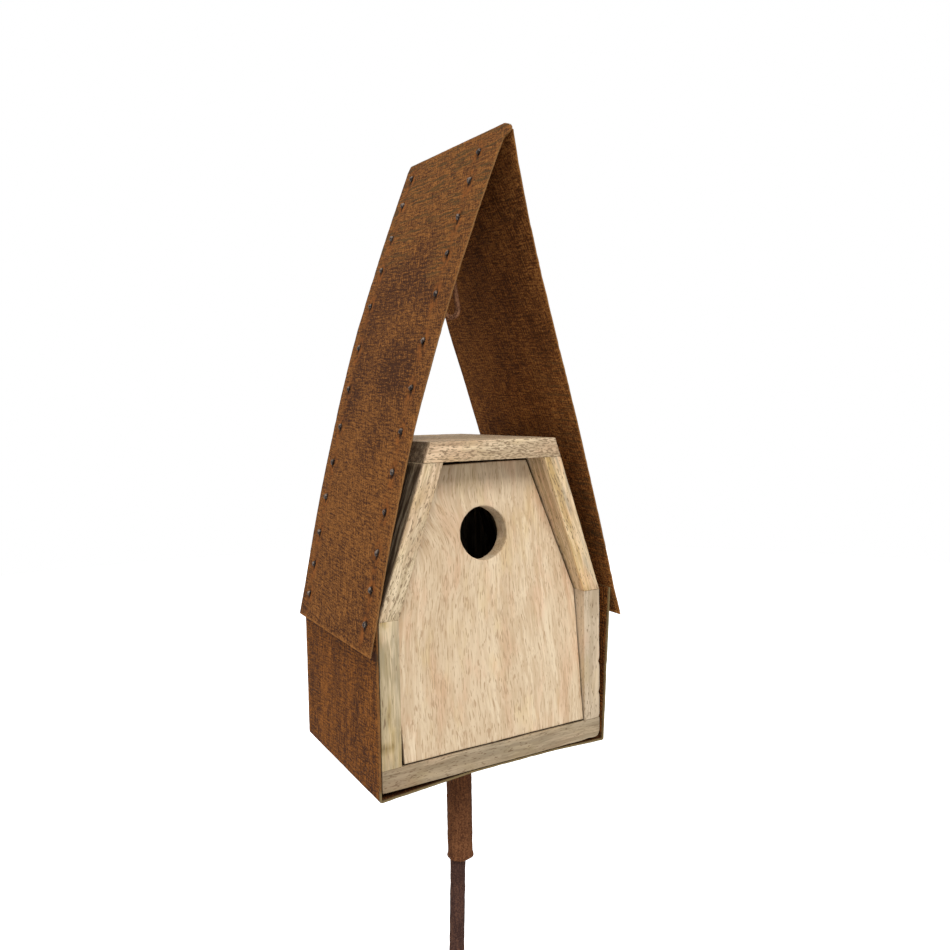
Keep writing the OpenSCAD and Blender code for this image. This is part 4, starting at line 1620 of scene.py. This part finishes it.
@dataclass
class Tray:
    """Bent steel tray under and beside the box, with four screws in its bottom."""

    place: Place
    top_h: float = 95.0
    depth: float = 118.0
    box_depth: float = 115.0
    sheet_t: float = 1.0
    gap: float = 0.7
    arris: float = 0.3
    left: float = -76.6
    right_foot: float = 78.2
    right_top: float = 84.1
    sag_left: float = 3.6
    sag_right: float = 1.7
    flat_left: float = -19.5
    flat_right: float = 40.5
    bend_r: float = 1.1
    step: float = 0.5
    # Height and width of the painted shadow band on the tray just under the eave.
    eave_shadow_h: float = 76.2
    eave_shadow_w: float = 2.4
    screw_in: float = 7.0
    screw_shares: tuple[float, float] = (0.16, 0.84)
    screw_turns: tuple[float, ...] = (0.3, 1.1, 0.7, 2.0)
    screw_r: float = 3.5
    screw_h: float = 2.0
    cross_depth: float = 1.1
    washer_r: float = 4.5

    def section(self) -> tuple[np.ndarray, np.ndarray]:
        """Walks along the tray's outer face, with each corner rounded by a parabola.

        Returns:
            Points as x and z, one step apart, and the unit normals that point to the inside.
        """
        t = self.sheet_t + self.gap
        corners = np.array([
            (self.left, self.top_h), (self.left, -self.sag_left - t), (self.flat_left, -t),
            (self.flat_right, -t), (self.right_foot, -self.sag_right - t), (self.right_top, self.top_h),
        ])
        share = np.linspace(0, 1, 9)[:, None]
        runs = [corners[:1]]
        for before, here, after in zip(corners, corners[1:], corners[2:]):
            start = here + (before - here) * self.bend_r / np.linalg.norm(before - here)
            stop = here + (after - here) * self.bend_r / np.linalg.norm(after - here)
            runs.append(start * (1 - share) ** 2 + 2 * here * share * (1 - share) + stop * share**2)
        runs.append(corners[-1:])
        path = np.concatenate(runs)
        length = np.concatenate([[0], np.cumsum(np.linalg.norm(np.diff(path, axis=0), axis=1))])
        even = np.linspace(0, length[-1], round(length[-1] / self.step))
        path = np.stack([np.interp(even, length, path[:, i]) for i in range(2)], axis=1)
        ahead = np.gradient(path, axis=0)
        ahead /= np.linalg.norm(ahead, axis=1, keepdims=True)
        return path, np.stack([-ahead[:, 1], ahead[:, 0]], axis=1)

    def shell(self) -> Shell:
        """Bends a thin rounded block along the section.

        A point's length along the block is its length along the section, its depth is y, and its
        thickness runs along the section's normal to the inside.

        Returns:
            The shell, with its skin, wear and zone marks.
        """
        path, inward = self.section()
        size = (self.step * (len(path) - 1), self.depth, self.sheet_t)
        points, quads = Block(size, self.arris, (1.6, 1.7, 1.0)).surface()
        share = points / np.array(size)
        at = share[:, 0] * (len(path) - 1)
        steps = np.arange(len(path))
        x, z = (np.interp(at, steps, path[:, i]) for i in range(2))
        nx, nz = (np.interp(at, steps, inward[:, i]) for i in range(2))
        w = points[:, 2]
        ragged = relief(columns(points[:, 0], 0.0, 0.0), (45, 6, 0.1), (46, 20, 0.1))
        y = points[:, 1] + np.maximum(ragged, 0.0) * (1 - smooth(share[:, 1], 0, 0.06))
        y = y + np.minimum(ragged, 0.0) * smooth(share[:, 1], 0.94, 1)
        shell = Shell(columns(x + nx * w, y, z + nz * w), quads)
        outer = 1 - share[:, 2]
        left_wall = smooth(-shell.points[:, 0], 72.0, 74.0) * smooth(shell.points[:, 2], 0.0, 3.0)
        cut = smooth(np.minimum(share[:, 2], outer), 0.02, 0.2)
        cut = np.maximum(cut, smooth(-points[:, 1], -1.3, -0.5)) * (1 - 0.8 * left_wall)
        shell.marks["skin"] = columns(y, points[:, 0], share[:, 2] * SKIN_THROUGH + TRAY_SKIN) * MM
        height = shell.points[:, 2]
        # Painted shadow: a dark band on the outer face just under the roof's eave, and painted shade on the
        # inner face at the bottom, under the box.
        tray_painted_shade = 5.0 * np.exp(-(((height - self.eave_shadow_h) / self.eave_shadow_w) ** 2)) * outer
        tray_painted_shade = tray_painted_shade + 2.6 * share[:, 2] * smooth(-height, -4.0, 1.0)
        worn = np.exp(-rim_distance(share, size) / RIM_WEAR)
        shell.marks["wear"] = columns(worn - tray_painted_shade, 0.0, cut)
        wander = Waves(63, 60, 14).at(shell.points)
        # The duller band from 58 to 80 mm up is painted shade under the eave; the rest varies at random.
        dull = smooth(wander, 0.2, 1.6) * 0.5 + 0.6 * smooth(height, 58.0, 80.0)
        shell.marks["zone"] = columns(dull, 0.0, 0.8)
        shell.outward()
        slow = relief(shell.points, (47, 60, 0.05))
        fine = relief(shell.points, (48, 9, 0.02), (49, 4, 0.015))
        return shell.roughened((slow - 0.05) * (2 * outer - 1) + np.minimum(fine - 0.04, 0.0))

    def turned(self, profile: tuple[np.ndarray, np.ndarray], around: int, recess: bool) -> Shell:
        """Turns one profile about the axis of each of the four screws.

        Every point of the profile gives a ring. Where a point of a head lies in either arm of its cross,
        its depth is cut by the recess.

        Args:
            profile: Radii and depths below the box, in millimetres.
            around: Points in a ring.
            recess: Whether a cross is cut into it.

        Returns:
            One shell of all four.
        """
        across = (self.flat_left + self.screw_in, self.flat_right - self.screw_in)
        along = [self.box_depth * share for share in self.screw_shares]
        centres = np.array([(x, y) for x in across for y in along])[:, :, None, None]
        radii, depths = (line[:, None] for line in profile)
        angle = full_turn(around)
        u, v = radii * np.cos(angle), radii * np.sin(angle)
        arm, reach = np.minimum(np.abs(u), np.abs(v)), np.maximum(np.abs(u), np.abs(v))
        depth = self.cross_depth if recess else 0.0
        cross = smooth(-arm, -0.55, -0.35) * smooth(-reach, -2.0, -1.6) * depth
        down = depths - cross * (depths > depths.max() - 0.5)
        turn = np.array(self.screw_turns)[:, None, None]
        x = centres[:, 0] + u * np.cos(turn) - v * np.sin(turn)
        y = centres[:, 1] + u * np.sin(turn) + v * np.cos(turn)
        return shell_row(columns(x, y, -down), turned=True)

    def screws(self) -> Shell:
        """Makes four pan heads with cross recesses under the tray, and a washer over each inside it.

        Returns:
            One shell of the heads and washers.
        """
        radii = np.array([1, 1, 0.93, 0.82, 0.68, 0.56, 0.45, 0.36, 0.28, 0.2, 0.12, 0.05])
        radii = radii * self.screw_r
        lifts = np.array([-0.2, 0.3, 0.55, 0.76, 0.9, 0.95, 0.98, 1, 1, 1, 1, 1]) * self.screw_h
        heads = self.turned((radii, self.gap + self.sheet_t + lifts), 40, True)
        rim = np.array([0.96, 1.0, 1.0, 0.96]) * self.washer_r
        washers = self.turned((rim, np.array([0.02, 0.15, 0.55, 0.68])), 32, False)
        count = len(heads.points)
        quads = np.concatenate([heads.quads, washers.quads + count])
        caps = heads.caps + [[point + count for point in cap] for cap in washers.caps]
        p = np.concatenate([heads.points, washers.points])
        none = np.zeros(len(p))
        marks = {"skin": p * MM, "wear": columns(none, 0.0, 0.0), "zone": columns(none + 0.4, 0.0, 0.0)}
        return Shell(p, quads, caps, marks)

    def build(self, group: bpy.types.NodeTree) -> None:
        """Makes and dresses the tray and its screws.

        Args:
            group: The rust's node group.
        """
        tray_rust = ((0.062, 0.022, 0.009), (0.215, 0.077, 0.019), (0.41, 0.150, 0.034))
        screw_rust = ((0.09, 0.06, 0.05), (0.16, 0.12, 0.10), (0.28, 0.19, 0.13))
        steel = rust_finish("tray_rust", tray_rust, 1.3, 0.1)
        zinc = rust_finish("screw_steel", screw_rust, 0.2, gloss=0.3, specular=0.5, metallic=0.6)
        tray = self.shell()
        skin = steel.material(group)
        add_piece("tray_steel", tray, self.place, skin, Slot.SHEET, ("tray",))
        screws = self.screws()
        skin = zinc.material(group)
        add_piece("tray_screw_heads", screws, self.place, skin, Slot.NAIL, ("tray_screws",))


# ---- Rods ----


@dataclass
class Rods:
    """The hanging loop, the sleeve with its weld, and the pole."""

    place: Place
    ridge_x: float
    loop_r: float = 1.75
    loop_w: float = 10.0
    loop_h: float = 36.0
    loop_foot: float = 266.0
    loop_y: float = 57.5
    loop_end_gap: float = 0.2
    shank_top: float = 354.6
    sleeve_wall: float = 1.5
    lip_out: float = 0.5
    weld_leg: float = 3.0
    weld_in: float = 0.5
    pole_level: float = 1.0006
    pole_arris: float = 0.3

    def loop_path(self) -> np.ndarray:
        """Walks along the loop: down the shank, round the teardrop and back up beside the shank.

        The teardrop is a half circle and more below two straight strands that touch it, and the last
        strand stops where it would meet the shank.

        Returns:
            Points along the rod's centre line.
        """
        bend = self.loop_w / 2
        turn = math.asin(bend / (self.loop_h - bend))
        strand = np.array([bend * math.cos(turn), bend + bend * math.sin(turn)])
        peak = np.array([0.0, self.loop_h])
        close = 1 - (self.loop_r + self.loop_end_gap) / strand[0]
        top = np.array([0.0, self.shank_top - self.loop_foot])
        share = np.linspace(0, 1, 24)[:, None]
        down = top + (peak + [0, 4] - top) * share
        first = (peak + (strand - peak) * 0.08) + (strand - peak) * 0.92 * share[:18] / share[17]
        sweep = turn - (math.pi + 2 * turn) * np.linspace(0, 1, 26)[1:-1]
        arc = np.stack([bend * np.cos(sweep), bend + bend * np.sin(sweep)], axis=1)
        mirrored = strand * [-1, 1]
        back = mirrored + (peak - mirrored) * close * share[:16] / share[15]
        flat = np.concatenate([down, first, arc, back])
        return columns(self.ridge_x + flat[:, 0], self.loop_y, self.loop_foot + flat[:, 1])

    def loop(self) -> Shell:
        """Carries a round section along the loop's path.

        Each ring lies square to the path, in the plane of the path's side and the y axis, and its radius
        is uneven with rust.

        Returns:
            The shell, with its marks.
        """
        path = self.loop_path()
        ahead = np.gradient(path, axis=0)
        ahead /= np.linalg.norm(ahead, axis=1, keepdims=True)
        side = np.cross([0.0, 1.0, 0.0], ahead)
        angle = full_turn(16)
        sideways, depthways = np.cos(angle)[:, None], np.sin(angle)[:, None]
        ring = side[:, None] * sideways + np.array([0.0, 1.0, 0.0]) * depthways
        ends = np.ones(len(path))
        ends[[0, -1]] = 0.75
        grid = path[:, None] + ring * (self.loop_r * ends)[:, None, None]
        return self.rusted(ring_shell(grid), 55, 0.5)

    def rusted(self, shell: Shell, seed: int, dull: float, rough: float = 1.0) -> Shell:
        """Roughens a rod and puts on its marks.

        Args:
            shell: The rod's shell.
            seed: Seed of its unevenness.
            dull: Share of dull old rust.
            rough: How uneven it is.

        Returns:
            The shell.
        """
        p = shell.points
        height = relief(p, (seed, 11, 0.05), (seed + 1, 3.5, 0.05))
        shell.roughened((height - 0.06) * rough)
        wander = Waves(seed + 2, 25).at(p)
        shell.marks["skin"] = p * MM
        shell.marks["wear"] = columns(0.25 * smooth(wander, 0.4, 2.0), 0.0, 0.0)
        shell.marks["zone"] = columns(dull + 0.25 * wander, 0.0, 0.5)
        return shell

    def sleeve(self) -> Shell:
        """Turns the sleeve's wall about its axis, with a lip rolled out at its lower rim.

        The section goes down the outside, over the lip, and up the bore, and closes on itself.

        Returns:
            The shell, with its marks.
        """
        low, high = self.place.box_of("sleeve")
        centre, outer = (low + high) / 2, (high[0] - low[0]) / 2
        down = np.linspace(high[2], low[2] + 2.6, 46)
        bore = np.linspace(low[2] + 0.5, high[2], 30)
        inner = outer - self.sleeve_wall
        z = np.concatenate([down, low[2] + np.array([1.9, 1.2, 0.6, 0.2, 0.0, 0.0, 0.15]), bore])
        lip = outer + self.lip_out * np.array([0.15, 0.5, 0.9, 1.0, 0.6, -1.2, -2.2])
        radius = np.concatenate([0 * down + outer - 0.05, lip, 0 * bore + inner])
        angle = full_turn(48)
        ring = columns(np.cos(angle), np.sin(angle))
        grid = np.zeros((len(z), len(angle), 3))
        ragged = 1 + 0.02 * np.cos(3 * angle + 1) + 0.012 * np.cos(7 * angle)
        flare = np.maximum(radius - outer, 0)[:, None] * (ragged - 1) * 20
        grid[..., :2] = centre[:2] + ring * (radius[:, None] + flare)[..., None]
        grid[..., 2] = z[:, None]
        return self.rusted(ring_shell(grid, ring_rows=True), 57, 0.35)

    def weld(self) -> Shell:
        """Lays a lumpy bead in the corner between the sleeve and the tray.

        The bead's section is a quarter round, and its radius swells with each drop round the sleeve.

        Returns:
            The shell, with its marks.
        """
        low, high = self.place.box_of("sleeve")
        centre, outer = (low + high) / 2, (high[0] - low[0]) / 2
        angle = full_turn(96)
        turn = np.linspace(0, np.pi / 2, 7)
        swell = self.weld_leg * (0.8 + 0.12 * np.abs(np.cos(9 * angle)) + 0.05 * np.cos(2 * angle + 1))
        inside = 0 * angle - self.weld_in
        out = np.concatenate([np.cos(turn)[:, None] * swell, [inside, inside]])
        down = np.concatenate([np.sin(turn)[:, None] * swell, [0.9 * swell, 0 * angle]])
        radius = outer + out * 0.98
        x, y = centre[0] + radius * np.cos(angle), centre[1] + radius * np.sin(angle)
        grid = columns(x, y, high[2] - down)
        return self.rusted(ring_shell(grid, ring_rows=True), 59, 0.7, rough=0.8)

    def pole(self) -> Shell:
        """Carries a round section up the leaning pole.

        Every ring lies level, so that the foot is flat on the ground, and its middle moves sideways in
        proportion to its height. The foot's and the top's middle lie in from the CAD box by the radius times
        pole_level, because a level cut through a leaning rod is that much wider.

        Returns:
            The shell, with its marks.
        """
        low, high = self.place.box_of("pole")
        radius = (high[1] - low[1]) / 2
        top_x = high[0] - radius * self.pole_level
        foot_x = low[0] + radius * self.pole_level
        middle_y = (low[1] + high[1]) / 2
        ends = np.array([0.0, 0.15, 0.6])
        z = np.concatenate([low[2] + ends, np.arange(low[2] + 3, high[2] - 2.0, 2.6), high[2] - ends[::-1]])
        slim = np.ones(len(z))
        slim[[0, -1]] = 1 - self.pole_arris / radius
        angle = full_turn(28)
        x = foot_x + (top_x - foot_x) * (z - low[2]) / (high[2] - low[2])
        reach = radius * slim[:, None]
        grid = columns(x[:, None] + reach * np.cos(angle), middle_y + reach * np.sin(angle), z[:, None])
        shell = self.rusted(ring_shell(grid), 65, 0.7)
        shell.points[:, 2] = np.clip(shell.points[:, 2], low[2], high[2])
        return shell

    def build(self, group: bpy.types.NodeTree) -> None:
        """Makes and dresses the loop, the sleeve, its weld and the pole.

        Args:
            group: The rust's node group.
        """
        sleeve_rust = ((0.070, 0.026, 0.013), (0.131, 0.051, 0.022), (0.225, 0.093, 0.039))
        pole_rust = ((0.050, 0.025, 0.020), (0.088, 0.044, 0.033), (0.150, 0.072, 0.045))
        loop_rust = ((0.13, 0.060, 0.033), (0.33, 0.155, 0.082), (0.52, 0.26, 0.13))
        tube = rust_finish("sleeve_rust", sleeve_rust, 0.1).material(group)
        bar = rust_finish("pole_rust", pole_rust, 0.1).material(group)
        hook = rust_finish("loop_rust", loop_rust, 0.2).material(group)
        add_piece("hanging_loop_rod", self.loop(), self.place, hook, Slot.ROD, ("hanging_loop",))
        add_piece("sleeve_tube", self.sleeve(), self.place, tube, Slot.ROD, ("sleeve",))
        add_piece("sleeve_weld_bead", self.weld(), self.place, tube, Slot.ROD, ("sleeve_weld",))
        add_piece("pole_rod", self.pole(), self.place, bar, Slot.ROD, ("pole",))


# ---- Studio ----


@dataclass
class Studio:
    """Pale floor, soft lamps, white surroundings and the camera."""

    place: Place
    eye: Triple = (-245.85, -399.73, 209.57)
    yaw: float = math.radians(30.117)
    pitch: float = math.radians(-4.708)
    roll: float = math.radians(-0.852)
    lens: float = 31.09
    aim: Triple = (0.0, 50.0, 150.0)
    floor_r: float = 6.0
    floor_sides: int = 64

    def camera(self) -> None:
        """Sets the camera from its eye point, heading, pitch and roll."""
        yaw, pitch, roll = self.yaw, self.pitch, self.roll
        ahead = Vector((math.sin(yaw) * math.cos(pitch), math.cos(yaw) * math.cos(pitch), math.sin(pitch)))
        side = Vector((math.cos(yaw), -math.sin(yaw), 0))
        up = side.cross(ahead)
        right = side * math.cos(roll) + up * math.sin(roll)
        top = up * math.cos(roll) - side * math.sin(roll)
        data = bpy.data.cameras.new("camera")
        data.lens = self.lens
        data.sensor_width = 36.0
        data.clip_start = 0.01
        made = bpy.data.objects.new("camera", data)
        turn = Matrix((right, top, -ahead)).transposed().to_4x4()
        made.matrix_world = Matrix.Translation(Vector(self.place.metres(np.array(self.eye)))) @ turn
        bpy.context.scene.collection.objects.link(made)
        bpy.context.scene.camera = made

    def lamp(self, name: str, at: Triple, size: float, watts: float) -> None:
        """Adds a square soft lamp that faces the box.

        Args:
            name: Its name.
            at: Its place from the middle of the box, in metres.
            size: Its side, in metres.
            watts: Its power.
        """
        data = bpy.data.lights.new(name, "AREA")
        data.energy, data.size = watts, size
        middle = Vector(self.place.metres(np.array(self.aim)))
        made = bpy.data.objects.new(name, data)
        made.location = middle + Vector(at)
        made.rotation_mode = "QUATERNION"
        made.rotation_quaternion = (-Vector(at)).to_track_quat("-Z", "Y")
        bpy.context.scene.collection.objects.link(made)

    def seen(self, g: Graph) -> Socket:
        """Gives 1 for what the camera sees, directly, in gloss or through glass.

        Args:
            g: The graph that it is used in.

        Returns:
            The number's socket.
        """
        path = g.node("ShaderNodeLightPath")
        total = g.plus(path.outputs["Is Camera Ray"], path.outputs["Is Glossy Ray"])
        return g.plus(total, path.outputs["Is Transmission Ray"], clamp=True)

    def floor(self) -> None:
        """Lays a pale floor whose far part melts into the white surroundings."""
        angle = full_turn(self.floor_sides)
        ring = columns(np.cos(angle), np.sin(angle), 0.0) * self.floor_r
        mesh = bpy.data.meshes.new("floor")
        mesh.from_pydata(ring.tolist(), [], [list(range(self.floor_sides))])
        material = bpy.data.materials.new("floor_white")
        material.use_nodes = True
        g = Graph(material.node_tree)
        shader = next(n for n in material.node_tree.nodes if n.type == "BSDF_PRINCIPLED")
        shader.inputs["Base Color"].default_value = (0.86, 0.86, 0.86, 1)
        shader.inputs["Roughness"].default_value = 0.9
        shader.inputs["Specular IOR Level"].default_value = 0.1
        shader.inputs["Emission Color"].default_value = (1, 1, 1, 1)
        place = g.node("ShaderNodeTexCoord").outputs["Object"]
        away = g.node("ShaderNodeVectorMath", {0: place}, operation="LENGTH").outputs["Value"]
        glow = g.times(self.seen(g), g.band(away, 0.5, 1.15, 0.42, 1.0))
        g.feed(shader.inputs["Emission Strength"], glow)
        mesh.materials.append(material)
        made = bpy.data.objects.new("floor", mesh)
        bpy.context.scene.collection.objects.link(made)
        made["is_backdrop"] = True

    def world(self) -> None:
        """Sets white surroundings that light the box softly."""
        world = bpy.data.worlds.new("studio")
        world.use_nodes = True
        bpy.context.scene.world = world
        g = Graph(world.node_tree)
        background = next(n for n in world.node_tree.nodes if n.type == "BACKGROUND")
        background.inputs["Color"].default_value = (1, 1, 1, 1)
        strength = g.node("ShaderNodeMapRange", {"Value": self.seen(g), "To Min": 0.55, "To Max": 1.0})
        g.feed(background.inputs["Strength"], strength.outputs[0])

    def build(self) -> None:
        """Sets up the whole studio."""
        self.camera()
        self.floor()
        self.world()
        self.lamp("key_lamp", (-0.35, -1.66, 1.66), 0.95, 33.5)
        self.lamp("fill_lamp", (-2.0, -0.4, 1.5), 0.8, 7.5)
        self.lamp("back_lamp", (1.2, 1.8, 1.4), 1.2, 6.0)
        bpy.context.scene.view_settings.view_transform = "Standard"


def corners(box: tuple[Vector, Vector]) -> list[list[float]]:
    """Turns a box's two corners into plain lists."""
    return [list(map(float, corner)) for corner in box]


def main() -> None:
    """Builds the studio and every sub-assembly in order."""
    logging.basicConfig(level=logging.INFO, format="%(name)s: %(message)s")
    place = Place.of_bottom_board()
    rust, wood = rust_group(), wood_group()
    roof = Roof(place)
    Studio(place).build()
    WoodenBox(place).build(wood)
    Tray(place).build(rust)
    roof.build(rust)
    Rods(place, roof.shape.ridge_x).build(rust)
    sizes = {"cad": corners(cad_bounds), "visual": corners(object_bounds())}
    log.info("sizes: %s", sizes)


if __name__ == "__main__":
    main()
